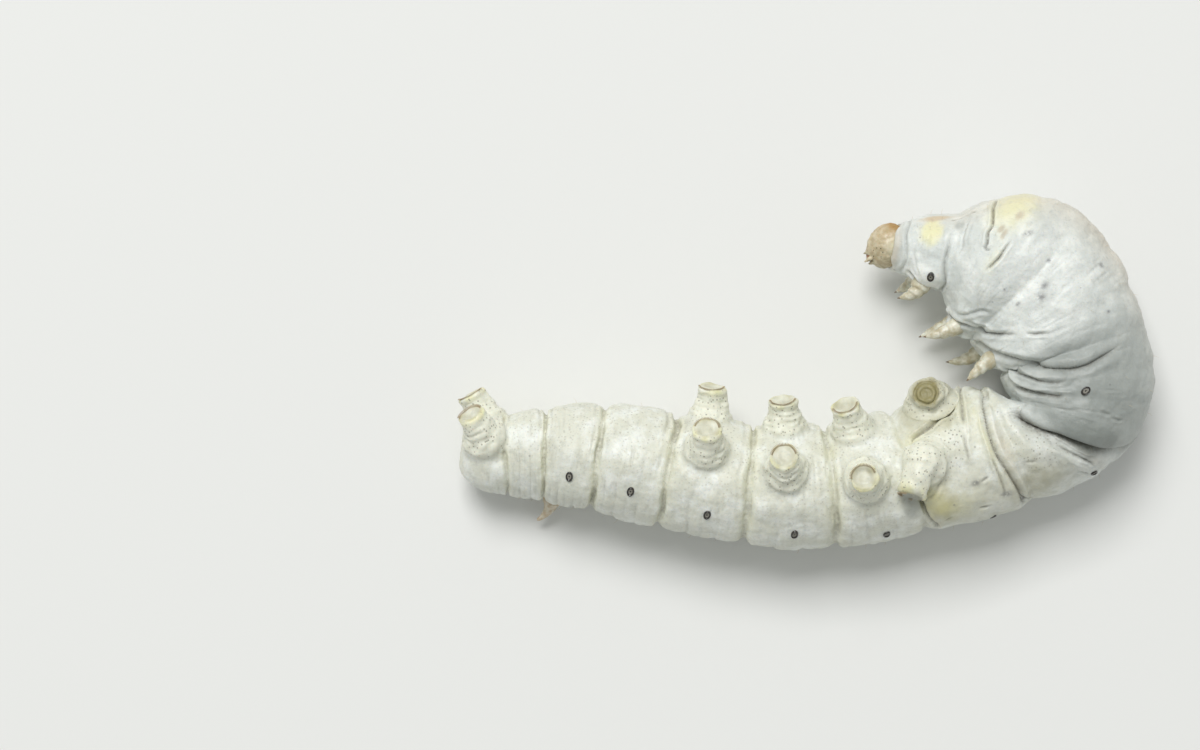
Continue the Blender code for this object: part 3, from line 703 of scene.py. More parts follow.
# %% [markdown]
# Then come the small unevenness of flesh, the leg roots, which stand on soft swellings, and fine wrinkles.
# The unevenness is Blender's own noise, read at each point, so it comes out alike every time. The wrinkles
# run round the body, where a stretched noise peaks, in drifts with plain skin between.

# %% Swellings and fine wrinkles
Swelling = namedtuple("Swelling", "s angle reach height flatness", defaults=(1,))
SWELLINGS = (
    # The roots of the legs, and the lobe below the first breathing hole.
    Swelling(0.60, 152, 0.85, 0.28), Swelling(0.60, 208, 0.85, 0.28), Swelling(0.72, 121, 1.15, 0.40, 1.5),
    Swelling(1.47, 162, 1.00, 0.20), Swelling(1.47, 198, 1.00, 0.20),
    Swelling(2.62, 163, 1.00, 0.25), Swelling(2.42, 199, 1.00, 0.25),
    # The flank and the belly of the first segments of the abdomen.
    Swelling(3.55, 102, 0.70, 0.10), Swelling(4.08, 125, 1.7, 0.25), Swelling(3.96, 155, 1.6, 0.20),
    # The roots of the first prolegs.
    Swelling(5.62, 218, 2.10, 0.65, 1.5), Swelling(5.64, 180, 1.60, 0.30, 1.5),
    Swelling(5.80, 122, 1.70, 0.20),
)
swell_push = np.zeros(len(skin))
for swelling in SWELLINGS:
    off = np.linalg.norm(skin - skin_point(swelling.s, swelling.angle), axis=1) / swelling.reach
    swell_push += swelling.height * bell(off**swelling.flatness)


def unevenness(points, *layers):
    """Lumps of several sizes: each layer has a height in mm, a size in mm and a seed."""
    return sum(height * noise_at(points, size, seed) for height, size, seed in layers)


lumps = unevenness(skin, (0.18, 2.6, 1), (0.09, 1.1, 2), (0.035, 0.45, 4))
WRINKLES_PER_SEGMENT, WRINKLE_STRETCH, WRINKLE_DEPTH = 21.0, 2.6, 0.06
turn = np.radians(skin_angle)
round_body = [skin_s * WRINKLES_PER_SEGMENT, np.cos(turn) * WRINKLE_STRETCH, np.sin(turn) * WRINKLE_STRETCH]
drifts = smooth(1.6 * noise_at(skin, 2.0, 6) + 0.35)
wrinkles = drifts * np.clip((noise_at(np.stack(round_body, -1), 1.0, 3) - 0.12) / 0.4, 0, 1)
print("points in wrinkles:", int((wrinkles > 0.3).sum()))

# %% [markdown]
# The flesh of a proleg is lumpier than the body, and wrinkled in uneven rings down to the sole. The skin that
# rolls in round the neck is uneven too. Then all these heights are added up, and the skin is moved along its
# own outward ways. Nothing may sink into the floor, so the lowest points are lifted last.

# %% Moving the skin
LIMB_LUMPS, LIMB_RINGS, LIMB_RING_DEPTH, BARE_RIM = (0.16, 0.75, 15), 8.0, 0.035, 0.08
COLLAR_LUMPS, COLLAR_REACH = (0.45, 1.3, 17), 0.10
FLOOR_REST = 0.015

limb_lumps = unevenness(skin, LIMB_LUMPS) * on_limb
ring_strength = np.clip(0.35 + 2.2 * noise_at(skin, 1.3, 16), 0, 1.2)
round_limb = ring_strength * np.sin(limb_share * 2 * math.pi * LIMB_RINGS + 2.6 * noise_at(skin, 0.9, 14))
limb_push = LIMB_RING_DEPTH * round_limb * on_limb * smooth((SOLE_SHARE - BARE_RIM - limb_share) / 0.10)
collar = unevenness(skin, COLLAR_LUMPS) * bell(skin_s / COLLAR_REACH)
slides += neck_tail * collar[:, None]
normals = normals_of(skin)
push = (body_push + rear_push + swell_push - WRINKLE_DEPTH * wrinkles) * (1 - on_limb)
push = push + lumps * (1 - 0.5 * on_limb) + limb_push + limb_lumps
skin = skin + normals * push[:, None] + slides * (1 - on_limb)[:, None]
skin = eased(skin, 0.2, 1)
skin[:, 2] = np.maximum(skin[:, 2], FLOOR_REST)
print("skin box in mm:", skin.min(0).round(2), skin.max(0).round(2))

# %% [markdown]
# ## Colour by place
# The skin is white in front and a little creamier behind, with yellow where it is thin or folded, a tan
# breath along the back, painted light on the flank of the thorax, painted shade round the first segment of
# the abdomen, and grey specks. Those places are known by s and angle, so each tint is kept on the mesh as a
# named number from 0 to 1, and the material only has to mix paints by them.

# %% Tints kept on the skin
blotches = noise_at(skin, 0.7, 5)


def patch(s, angle, s_reach, angle_reach, crispness=1.0):
    """A patch on the body about a place, with an uneven edge."""
    off = np.hypot((skin_s - s) / s_reach, wrapped(skin_angle - angle) / angle_reach) + 0.25 * blotches
    return bell(np.maximum(off, 0) ** crispness)


def patches(*rows):
    """Several patches added up. Each row is a strength and then what a patch takes."""
    return sum(strength * patch(*row) for strength, *row in rows)


def band(angle, reach):
    """A band from head to tail at this angle."""
    return bell(wrapped(skin_angle - angle) / reach)


CREAM_START, CREAM_RUN = 4.4, 0.6
cream = 0.8 * smooth((skin_s - CREAM_START) / CREAM_RUN) * (0.7 + 0.3 * belly_share)
yellow = 0.20 * rear * bell(to_joint / 0.10) + patches(
    (0.85, 0.56, 38, 0.21, 30, 3), (0.80, 1.45, 25, 0.18, 30, 1.4), (0.3, 1.46, 84, 0.07, 12),
    (0.12, 5.25, 200, 0.14, 40), (0.6, 5.88, 128, 0.15, 17, 1.5), (0.55, 5.70, 116, 0.18, 15),
    (0.6, 5.90, 178, 0.09, 14), (0.35, 5.60, 220, 0.26, 34), (0.35, 5.24, 170, 0.025, 30),
)
blush = 0.5 * band(8, 30) * (bell((skin_s - 2.2) / 0.9) + 0.4 * bell((skin_s - 0.8) / 0.5)) + patches(
    (0.9, 0.62, 6, 0.24, 9, 2), (0.6, 1.51, 41, 0.035, 5, 2), (0.6, 1.40, 54, 0.03, 4, 2),
    (0.6, 1.45, 60, 0.025, 5, 2), (0.30, 5.09, 163, 0.06, 20), (0.5, 0.0, 90, 0.05, 70),
    (0.25, 4.40, 115, 0.05, 30),
)
# Painted light: the lobe below the first breathing hole and the flank of the third segment are brightened
# towards white.
waxy = patches((1.0, 0.60, 128, 0.38, 24, 2), (0.35, 2.05, 88, 0.80, 36, 2))
SPECKS = (
    (1.66, 58, 1.0), (2.00, 72, 0.6), (2.17, 88, 1.2), (2.25, 95, 1.5), (2.38, 45, 0.8), (2.11, 109, 0.8),
    (5.22, 121, 1.5), (5.46, 140, 1.2), (5.07, 96, 1.2), (2.75, 60, 0.6), (1.80, 104, 0.6),
)
SPECK_S, SPECK_ANGLE = 0.030, 2.2
specks = patches(*((1.0, s, angle, SPECK_S * size, SPECK_ANGLE * size) for s, angle, size in SPECKS))
print("yellow up to:", round(yellow.max(), 2), "blush up to:", round(blush.max(), 2))

# %% [markdown]
# The first segment of the abdomen is darkened, mostly with painted shade for the shade that lies on its flank
# as it turns away from the lamp. The tint starts on the third segment and ends in the pocket, and it fades
# gently on the back and the right, where no crease hides its edge. A few patches add more painted shade low
# on that segment and in the pocket, a painted shadow under the first left proleg, grey marks on the collar,
# at the joint of the first two segments and on the second segment, and faint darkening at a few more places.

# %% Painted shade, grey marks and dots
SHADE, SHADE_START, SHADE_RUN, SHADE_END, SHADE_FLANK, SHADE_REACH = 0.84, 2.50, 0.60, 4.52, 100, 95
HIDDEN_EDGE, GENTLE_EDGE, FRONT_LIGHT = 0.15, 0.55, 0.34
edge_length = HIDDEN_EDGE + GENTLE_EDGE * smooth((115 - skin_angle) / 35)
edge_length = edge_length + GENTLE_EDGE * smooth((skin_angle - 190) / 30)
# Painted shade over the first segment of the abdomen, with soft ends.
grey = smooth((skin_s - SHADE_START) / SHADE_RUN) * smooth((SHADE_END - skin_s) / edge_length)
grey *= band(SHADE_FLANK, SHADE_REACH)
# The painted shade is weaker on the low part of the flank in front.
grey *= 1 - FRONT_LIGHT * smooth((skin_angle - 112) / 20) * smooth((3.75 - skin_s) / 0.15)
# The patches: painted shade low on that segment and in the pocket, a painted shadow under the first left
# proleg, grey marks, and faint darkening elsewhere.
grey = SHADE * grey + patches(
    (0.36, 4.16, 130, 0.17, 45, 2), (0.4, 4.37, 142, 0.07, 22, 2), (0.5, 0.99, 33, 0.06, 9, 2),
    (0.25, 0.05, 90, 0.09, 90), (0.6, 6.12, 127, 0.12, 15, 2), (0.22, 1.40, 54, 0.03, 4, 2),
    (0.22, 1.45, 60, 0.025, 5, 2), (0.2, 1.51, 41, 0.035, 5, 2), (0.12, 4.78, 150, 0.35, 40),
    (0.12, 2.48, 144, 0.35, 16), (0.10, 2.55, 66, 0.25, 30),
)
dotted = 0.5 * rear * belly_share**2 + patches(
    (1.0, 5.58, 222, 0.24, 28, 2), (1.0, 5.62, 184, 0.20, 20, 2), (1.0, 5.70, 165, 0.18, 16, 2),
    (0.8, 4.78, 162, 0.30, 34, 2),
)
print("points in grey:", int((grey > 0.3).sum()), "with dots:", int((dotted > 0.3).sum()))

# %% [markdown]
# The soles are ochre, with a broken yellow rim above them. The drawn-in sole of the first proleg on the right
# has a darker disc in the middle. Ochre also lies thinly over the roots of the limbs.

# %% Soles, and all the tints together
RIM_WIDTH, SOLE_EDGE, DISC_EDGE = 0.10, 0.06, 0.20
rim = on_limb * bell((limb_share - SOLE_SHARE) / RIM_WIDTH) * np.clip(0.55 + 1.2 * blotches, 0, 1)
sole = on_limb * smooth((limb_share - SOLE_SHARE) / SOLE_EDGE)
drawn_in = on_limb * patch(5.62, 225, 0.6, 40, 3)
disc = smooth((limb_share - DISC_SHARE + 0.02 + 0.07 * blotches) / DISC_EDGE)
ochre = (0.30 + 0.3 * blotches) * sole * (1 - drawn_in) + drawn_in * (0.22 + 0.72 * disc)
ochre += (1 - on_limb) * patches(
    (0.34, 5.70, 214, 0.27, 26, 4), (0.34, 5.84, 126, 0.18, 26, 2), (0.22, 4.78, 128, 0.26, 28),
    (0.25, 0.66, 152, 0.16, 15), (0.15, 2.30, 165, 0.35, 9), (0.16, 5.30, 112, 0.65, 30, 2),
    (0.14, 4.93, 124, 0.20, 16),
)
# Of these tints, the crease tint is part dirt and part painted shade, the grey one is mostly painted shade,
# and the bright wax one is painted light.
tints = {
    "cream": cream, "yellow": yellow * (1 - on_limb) + 0.8 * rim * (1 - drawn_in), "blush": blush,
    "creased": creased + 2.2 * np.clip(-rear_push, 0, 1) + 0.12 * wrinkles, "grey": grey, "specks": specks,
    "dotted": dotted * (1 - on_limb) + on_limb * (1 - sole), "limb": on_limb, "ochre": ochre, "waxy": waxy,
}
tints = {name: np.clip(values, 0, 1) for name, values in tints.items()}
print("tints:", ", ".join(tints))


# %% A finished piece
def made_piece(name, form, material, replaced=()):
    """An object of the silkworm from points in mm."""
    points, faces = form
    mesh = bpy.data.meshes.new(name)
    mesh.from_pydata((np.asarray(points) * MM).tolist(), [], [tuple(map(int, face)) for face in faces])
    mesh.shade_smooth()
    mesh.materials.append(material)
    piece = bpy.data.objects.new(name, mesh)
    bpy.context.scene.collection.objects.link(piece)
    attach(piece, "root")
    if replaced:
        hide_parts(*replaced)
    print(name, "-", len(mesh.vertices), "points,", len(mesh.polygons), "faces")
    return piece


def keep_tints(piece, tints):
    """Named numbers at each point of a piece's mesh, for its paint to read."""
    for name, values in tints.items():
        kept = piece.data.attributes.new(name, "FLOAT", "POINT")
        kept.data.foreach_set("value", np.asarray(values, np.float32))


# %% [markdown]
# ## Paints
# Each finish is a small network of nodes. A helper starts it, and another adds and joins nodes, so that the
# cells below read as a list of what is mixed with what.


# %% Helpers for materials
class Paint:
    """A material and short ways to add nodes to it."""

    def __init__(self, name, roughness, settings):
        self.material = bpy.data.materials.new(name)
        self.material.use_nodes = True
        self.tree = self.material.node_tree
        self.shader = self.tree.nodes["Principled BSDF"]
        for socket, value in {"Roughness": roughness, **settings}.items():
            self.shader.inputs[socket].default_value = value

    def node(self, kind, inputs, **settings):
        """A node with its settings and inputs. An input is a number, a colour or another node's output."""
        made = self.tree.nodes.new(kind)
        for key, value in settings.items():
            setattr(made, key, value)
        for key, value in inputs.items():
            self.join(made.inputs[key], value)
        return made

    def join(self, socket, value):
        """Sets a socket, or links it."""
        if isinstance(value, bpy.types.NodeSocket):
            self.tree.links.new(value, socket)
        elif isinstance(value, tuple) and len(value) == 3 and socket.type == "RGBA":
            socket.default_value = (*value, 1.0)
        else:
            socket.default_value = value

    def coat(self, colour, relief=None):
        """Gives the shader its colour and its relief."""
        self.join(self.shader.inputs["Base Color"], colour)
        if relief is not None:
            self.join(self.shader.inputs["Normal"], relief)

    def place(self):
        """The point's own place on the object, in metres."""
        return self.node("ShaderNodeTexCoord", {}).outputs["Object"]

    def tint(self, name):
        """A named number kept on the mesh."""
        return self.node("ShaderNodeAttribute", {}, attribute_name=name).outputs["Fac"]

    def sum(self, operation, first, second):
        """Two numbers put through a sum."""
        return self.node("ShaderNodeMath", {0: first, 1: second}, operation=operation).outputs[0]

    def times(self, first, second):
        """Two numbers multiplied."""
        return self.sum("MULTIPLY", first, second)

    def mix(self, share, first, second):
        """Two colours mixed."""
        return self.node("ShaderNodeMix", {0: share, 6: first, 7: second}, data_type="RGBA").outputs[2]

    def layered(self, colour, *layers):
        """A colour with more paints over it. Each has a share of the surface, a strength and a colour."""
        for share, strength, over in layers:
            colour = self.mix(share if strength == 1 else self.times(share, strength), colour, over)
        return colour

    def grain(self, scale, detail=3.0, roughness=0.55):
        """Noise of this many grains to the metre."""
        inputs = {"Vector": self.place(), "Scale": scale, "Detail": detail, "Roughness": roughness}
        return self.node("ShaderNodeTexNoise", inputs).outputs["Fac"]

    def ramp(self, value, low, high):
        """A number spread so that low becomes 0 and high becomes 1."""
        inputs = {"Value": value, "From Min": low, "From Max": high}
        return self.node("ShaderNodeMapRange", inputs, interpolation_type="SMOOTHSTEP").outputs["Result"]

    def dots(self, per_metre, low, high):
        """Round dots, one in each cell of a jumbled grid, as a number that is 1 inside a dot."""
        cells = self.node("ShaderNodeTexVoronoi", {"Vector": self.place(), "Scale": per_metre})
        return self.sum("SUBTRACT", 1.0, self.ramp(cells.outputs["Distance"], low, high))

    def bump(self, height, distance, strength, **after):
        """Small relief for light only, over the relief before it, if there is any."""
        inputs = {"Height": height, "Distance": distance, "Strength": strength, **after}
        return self.node("ShaderNodeBump", inputs).outputs["Normal"]


def fleshy(weight, depth, radius=(0.9, 0.6, 0.4)):
    """Shader settings for light that goes in: how much, how deep in metres, and its reach for each colour."""
    return {"Subsurface Weight": weight, "Subsurface Scale": depth, "Subsurface Radius": radius}


def glossy(weight, roughness):
    """Shader settings for a thin clear coat."""
    return {"Coat Weight": weight, "Coat Roughness": roughness}


def mottled(name, roughness, settings, grain, spread, colours, relief=()):
    """The material of a simple part: two colours that run into each other in grains, and fine relief."""
    paint = Paint(name, roughness, settings)
    share = paint.ramp(paint.grain(*grain), *spread) if spread else paint.grain(*grain)
    bumps = paint.bump(paint.grain(*relief[:2]), *relief[2:]) if relief else None
    paint.coat(paint.mix(share, *colours), bumps)
    return paint.material


# %% [markdown]
# The skin is waxy and a little clear: light goes in, scatters in the flesh and comes out again, which softens
# the shading in the folds. The shader's subsurface setting does that. Over it the paints are mixed by the
# tints, among them painted light, painted shade, and brown creases that are part dirt and part painted shade,
# with faint grey veins and flecks, a few dark pin pricks, brown dots on the belly and the limbs, and a fine
# leathery relief.

# %% The skin's paint
PALE_SKIN, CREAM_SKIN, PROLEG_CREAM = (0.66, 0.69, 0.66), (0.70, 0.695, 0.575), (0.79, 0.79, 0.67)
# On the next line, the second colour is the white of painted light and the third is the grey of painted
# shade.
WAX_WHITE, PAINTED_LIGHT_WHITE, SHADED_SKIN = (0.86, 0.88, 0.84), (0.96, 0.97, 0.93), (0.23, 0.25, 0.23)
WARM_YELLOW, TAN_BLUSH, SOLE_OCHRE = (0.80, 0.77, 0.45), (0.62, 0.51, 0.36), (0.27, 0.235, 0.09)
VEIN_GREY, SPECK_GREY = (0.34, 0.36, 0.35), (0.16, 0.155, 0.16)
CREASE_BROWN, DOT_BROWN = (0.13, 0.11, 0.08), (0.22, 0.20, 0.15)

p = Paint("soft_skin", 0.45, fleshy(0.25, 0.0006, (0.9, 0.75, 0.6)) | glossy(0.08, 0.3))
clouds = p.ramp(p.grain(520, 5.0, 0.62), 0.42, 0.68)
veins = p.ramp(p.grain(1300, 5.0, 0.7), 0.58, 0.74)
flecks = p.ramp(p.grain(4600), 0.52, 0.72)
scattered = p.ramp(p.grain(900, 2.0), 0.28, 0.50)
pores = p.times(p.times(p.tint("dotted"), p.dots(3100, 0.16, 0.30)), scattered)
smudges = p.times(p.tint("specks"), p.ramp(p.grain(3800), 0.26, 0.52))
# Brown in the folds, rear creases and wrinkles: part dirt and part painted shade.
dirt_and_painted_shade = p.times(p.tint("creased"), p.ramp(p.grain(2600), 0.20, 0.60))
# Of these layers, the brightest white is painted light and the shaded grey is painted shade.
colour = p.layered(
    p.mix(p.tint("cream"), PALE_SKIN, CREAM_SKIN), (clouds, 0.75, WAX_WHITE), (p.tint("waxy"), 1, PAINTED_LIGHT_WHITE),
    (p.tint("limb"), 1, PROLEG_CREAM), (p.tint("yellow"), 1, WARM_YELLOW), (p.tint("blush"), 1, TAN_BLUSH),
    (p.tint("ochre"), 1, SOLE_OCHRE), (p.tint("grey"), 0.9, SHADED_SKIN), (veins, 0.26, VEIN_GREY),
    (flecks, 0.20, VEIN_GREY), (pores, 0.68, DOT_BROWN), (p.dots(480, 0.035, 0.055), 0.4, SPECK_GREY),
    (smudges, 0.75, SPECK_GREY), (dirt_and_painted_shade, 0.85, CREASE_BROWN),
)
leather = p.bump(p.grain(6200), 0.00004, 0.5)
p.coat(colour, p.bump(p.grain(1900, 5.0, 0.65), 0.00012, 0.6, Normal=leather))
p.join(p.shader.inputs["Roughness"], p.sum("ADD", 0.36, p.times(p.grain(1800), 0.22)))

soft_nodes = SEGMENT_NODES + [plan.name for plan in prolegs]
soft_skin = made_piece("soft_skin", (skin, quads), p.material, soft_nodes)
keep_tints(soft_skin, tints)

# %% [markdown]
# ## The head
# The head is a hard shell of two rounded halves with a seam between them that forks over the face. It is
# lofted from rings like the rest, and the seam is pressed in by a small function. The rear of the shell sits
# inside the neck.

# %% The head's frame
HEAD_HALF = (1.68, 1.62, 1.85)
HEAD_FORWARD, HEAD_TILT = 0.70, math.radians(21.0)
FACE_FLATNESS, JAW_TAPER = 0.12, 0.22
# The neck's forward and upward ways, turned about the flank so that the face looks a little down.
head_forward = -neck_tail * math.cos(HEAD_TILT) + np.cross(head_left, neck_tail) * math.sin(HEAD_TILT)
head_up = neck_back * math.cos(HEAD_TILT) - np.cross(head_left, neck_back) * math.sin(HEAD_TILT)
head_centre = neck_middle - neck_tail * HEAD_FORWARD


def head_point(turn, rise, proud=0.0):
    """Points of the head's shell, turn degrees left of straight ahead and rise degrees up."""
    turn, rise = np.broadcast_arrays(np.radians(turn), np.radians(rise))
    ahead, across, high = np.cos(rise) * np.cos(turn), np.cos(rise) * np.sin(turn), np.sin(rise)
    length = (HEAD_HALF[0] + proud) * (1 - FACE_FLATNESS * np.maximum(0, ahead) * (0.5 + 0.5 * high))
    width = (HEAD_HALF[1] + proud) * (1 - JAW_TAPER * np.maximum(0, -high))
    tall = (HEAD_HALF[2] + proud) * high
    parts = ((length * ahead, head_forward), (width * across, head_left), (tall, head_up))
    return head_centre + sum(np.asarray(size)[..., None] * way for size, way in parts)


CROWN_SEAM, CROWN_SEAM_WIDTH = 0.10, 4.0
FORK_SEAM, FORK_SEAM_WIDTH, FORK_TOP, FORK_END, FORK_SPLAY = 0.07, 3.5, 24, -45, 0.62
DIMPLE_HEIGHT = 0.009


def head_relief(turn, rise):
    """The seam down the crown, its fork round the face, and fine dimples."""
    side = abs(wrapped(turn))
    crown = bell(side / CROWN_SEAM_WIDTH) * (rise > 12)
    fork_turn = 4.0 + (FORK_TOP - rise) * FORK_SPLAY
    fork = bell((side - fork_turn) / FORK_SEAM_WIDTH) * (rise <= FORK_TOP) * (rise > FORK_END)
    dimples = np.sin(turn * 0.9 + 3 * np.sin(rise * 0.11)) * np.sin(rise * 0.7 + 2 * np.sin(turn * 0.05))
    return DIMPLE_HEIGHT * dimples - CROWN_SEAM * crown - FORK_SEAM * fork


head_turns, head_rises = np.arange(160) * 2.25, np.linspace(-88, 88, 96)
relief = head_relief(head_turns[None, :], head_rises[:, None])
head_rings = head_point(head_turns[None, :], head_rises[:, None], relief)
head_lumps = unevenness(head_rings.reshape(-1, 3), (0.08, 0.55, 11), (0.03, 0.25, 12))
head_rings = head_rings + unit(head_rings - head_centre) * head_lumps.reshape(len(head_rises), -1, 1)
print("head centre, mm:", head_centre.round(2), "forward:", head_forward.round(2), "up:", head_up.round(2))

# %% [markdown]
# The shell is tan horn, darker orange-brown over the crown and cream at the cheeks behind. It is smooth and a
# little glossy, with a fine grain that catches the light. The tints are again kept on the mesh.

# %% The head's shell
HORN_TAN, PALE_TAN, SHELL_SPECK = (0.50, 0.41, 0.25), (0.66, 0.58, 0.41), (0.30, 0.15, 0.06)
CROWN_BROWN, CHEEK_CREAM = (0.41, 0.24, 0.075), (0.88, 0.87, 0.68)
p = Paint("head_horn", 0.42, fleshy(0.15, 0.0004, (0.9, 0.5, 0.3)) | glossy(0.12, 0.3))
colour = p.layered(
    p.mix(p.ramp(p.grain(2600, 4.0), 0.38, 0.66), HORN_TAN, PALE_TAN), (p.tint("crown"), 1, CROWN_BROWN),
    (p.tint("cheek"), 1, CHEEK_CREAM), (p.ramp(p.grain(5200, 2.0), 0.60, 0.72), 0.35, SHELL_SPECK),
)
p.coat(colour, p.bump(p.grain(3600, 4.0), 0.00007, 0.7))

head_form = lofted(head_rings, start=head_point(0, -90), end=head_point(0, 90))
head_shell = made_piece("head_shell", head_form, p.material, ["head"])
turns = np.concatenate([np.tile(head_turns, len(head_rises)), [0, 0]])
rises = np.concatenate([np.repeat(head_rises, len(head_turns)), [-90, 90]])
behind = abs(wrapped(turns)) / 180
keep_tints(head_shell, {
    "crown": 0.9 * smooth((rises - 42) / 30) + 0.25 * smooth((rises - 10) / 30),
    "cheek": bell((behind - 0.66) / 0.17) * bell((rises - 18) / 28),
})

# %% [markdown]
# ## Small hard parts
# Jaws, eyes, feelers, leg horn, claws, hairs and the rims of the breathing holes are small lofts along a line
# or rounded lumps. Each kind is made by its own short function and joined into one piece.


# %% Lumps and tapered lines
def lump(centre, halves, count, rows):
    """A rounded lump that stands as the head does, with its own three half sizes."""
    forward, left, up = head_forward * halves[0], head_left * halves[1], head_up * halves[2]
    turns = np.radians(np.linspace(-80, 80, rows))
    rings = [oval(centre + up * math.sin(t), forward, left, math.cos(t), math.cos(t), count) for t in turns]
    return lofted(rings, start=centre - up, end=centre + up)


def tapered(line, halves, count, hint):
    """A closed round form along a line, with its half thickness at each point."""
    line = np.asarray(line, float)
    ways = unit(np.gradient(line, axis=0))
    rings = []
    for point, way, half in zip(line, ways, halves):
        side, other = square_to(way, hint)
        rings.append(oval(point, side, other, half, half, count))
    return lofted(rings)


def on_head(forward, left, up):
    """A place in the head's own directions, in mm from its centre."""
    return head_centre + head_forward * forward + head_left * left + head_up * up


# %% [markdown]
# The mouth hangs below the face: a lip plate in front, a pair of dark jaws under it, and behind them the
# spinning lip with two short palps and a small pointed spinneret, where the silk comes out.

# %% Mouthparts
DARK_HORN, BROWN_HORN = (0.16, 0.07, 0.03), (0.34, 0.17, 0.08)
LIP_TAN, LIP_CREAM = (0.46, 0.40, 0.27), (0.60, 0.54, 0.38)
mouth_horn = mottled("mouth_horn", 0.30, glossy(0.4, 0.15), (5200,), (0.4, 0.65), (DARK_HORN, BROWN_HORN),
                     (7000, 2.0, 0.00002, 0.5))
lip_skin = mottled("lip_skin", 0.45, fleshy(0.2, 0.0004), (3200,), (0.4, 0.65), (LIP_TAN, LIP_CREAM),
                   (5200, 3.0, 0.00003, 0.6))
JAW_PLACE, JAW_HALF = (0.74, 0.30, -1.48), (0.30, 0.30, 0.34)
# The lip plate in front and the spinning lip behind it, each with its place and its half sizes.
LIPS = (((1.00, 0.0, -1.20), (0.30, 0.50, 0.26)), ((-0.10, 0.0, -1.52), (0.85, 0.74, 0.42)))
PALP_LINE, PALP_HALVES = ((0.30, 0.42, -1.55), (0.46, 0.46, -1.80), (0.60, 0.44, -1.96)), (0.20, 0.15, 0.07)
SPINNERET_LINE, SPINNERET_HALVES = ((0.26, 0, -1.72), (0.34, 0, -1.92), (0.42, 0, -2.08)), (0.16, 0.10, 0.03)


def on_side(way, place):
    """A place on the head, on the left for way 1 and mirrored to the right for way -1."""
    return on_head(place[0], way * place[1], place[2])


jaws = [lump(on_side(way, JAW_PLACE), JAW_HALF, 20, 11) for way in (1, -1)]
made_piece("mandibles", merged(jaws), mouth_horn)
lips = [lump(on_head(*place), halves, 24, 11) for place, halves in LIPS]
for way in (1, -1):
    lips.append(tapered([on_side(way, place) for place in PALP_LINE], PALP_HALVES, 14, head_forward))
lips.append(tapered([on_head(*place) for place in SPINNERET_LINE], SPINNERET_HALVES, 12, head_forward))
made_piece("lips_and_spinneret", merged(lips), lip_skin)

# %% [markdown]
# Six tiny eyes stand in an arc on each cheek, and a short feeler of three joints stands beside each jaw.

# %% Eyes and feelers
STEMMATA, EYE_HALF = ((52, -20), (58, -9), (69, -4), (80, -10), (83, -24), (60, -36)), 0.042
EYE_BLACK, EYE_BROWN = (0.02, 0.014, 0.010), (0.06, 0.035, 0.02)
eye_horn = mottled("eye", 0.12, glossy(0.6, 0.05), (3000, 2.0), (), (EYE_BLACK, EYE_BROWN))
eyes = [lump(head_point(way * turn, rise), (EYE_HALF,) * 3, 12, 7) for turn, rise in STEMMATA
        for way in (1, -1)]
made_piece("eyes", merged(eyes), eye_horn)

ANTENNA_PLACE, ANTENNA_AIM, ANTENNA_HALF = (52, -46), (0.26, 0.30, -0.32), 0.16
ANTENNA_OUTLINE = (
    (-0.3, 1.2), (0.0, 1.15), (0.12, 1.1), (0.16, 0.85), (0.45, 0.80), (0.5, 0.85), (0.53, 0.55),
    (0.80, 0.52), (0.85, 0.40), (1.0, 0.22),
)
for name, way in (("left_antenna", 1), ("right_antenna", -1)):
    root = head_point(way * ANTENNA_PLACE[0], ANTENNA_PLACE[1])
    aim = on_side(way, ANTENNA_AIM) - head_centre
    line = [root + unit(aim) * GAP * (share > 0.1) + aim * share for share, _ in ANTENNA_OUTLINE]
    halves = [ANTENNA_HALF * thick for _, thick in ANTENNA_OUTLINE]
    made_piece(name + "_joints", tapered(line, halves, 16, head_up), lip_skin, [name])


# %% [markdown]
# ## Legs
# The three pairs of true legs are jointed horn. Each narrows in steps from a broad root ring to a thin foot
# with one brown claw. The steps stay visible, because each joint is a hard ring with softer skin between.

# %% The legs and their claws
LEFT_LEGS = (
    Limb("left_foreleg", 0, 0.60, 152, (-1.66, 1.40, 0.3)),
    Limb("left_midleg", 1, 0.47, 162, (-1.92, 1.81, 0.3)),
    Limb("left_hindleg", 2, 0.62, 163, (0.53, 2.50, 0.3)),
)
RIGHT_LEG_REACH, FORELEG_HALF = (0.0, 0.6, 0.0), 0.74
LEG_POINTS, LEG_STEPS, CLAW_POINTS, CLAW_STEPS = 28, 60, 16, 16
RIGHT_HINDLEG = Limb("right_hindleg", 2, 0.42, 199, (-0.95, 2.75, -0.8))
LEG_OUTLINE = (
    (0.0, 1.10), (0.12, 1.04), (0.20, 0.98), (0.25, 0.84), (0.30, 0.80), (0.36, 0.82), (0.46, 0.79),
    (0.51, 0.70), (0.55, 0.61), (0.60, 0.60), (0.70, 0.54), (0.77, 0.46), (0.81, 0.36), (0.86, 0.28),
    (0.90, 0.22), (0.93, 0.16),
)
CLAW_OUTLINE = ((0.86, 0.20), (0.90, 0.19), (0.94, 0.13), (0.97, 0.09), (1.0, 0.035))
LEG_CREAM, LEG_OLIVE = (0.78, 0.77, 0.66), (0.48, 0.43, 0.29)
CLAW_BROWN, CLAW_TAN = (0.12, 0.07, 0.035), (0.24, 0.16, 0.09)
leg_horn = mottled("leg_horn", 0.42, fleshy(0.2, 0.0005) | glossy(0.15, 0.25), (1700, 4.0), (0.28, 0.66),
                   (LEG_CREAM, LEG_OLIVE), (5200, 3.0, 0.00003, 0.5))
claw_horn = mottled("claw_horn", 0.25, glossy(0.4, 0.1), (6000, 2.0), (), (CLAW_BROWN, CLAW_TAN))

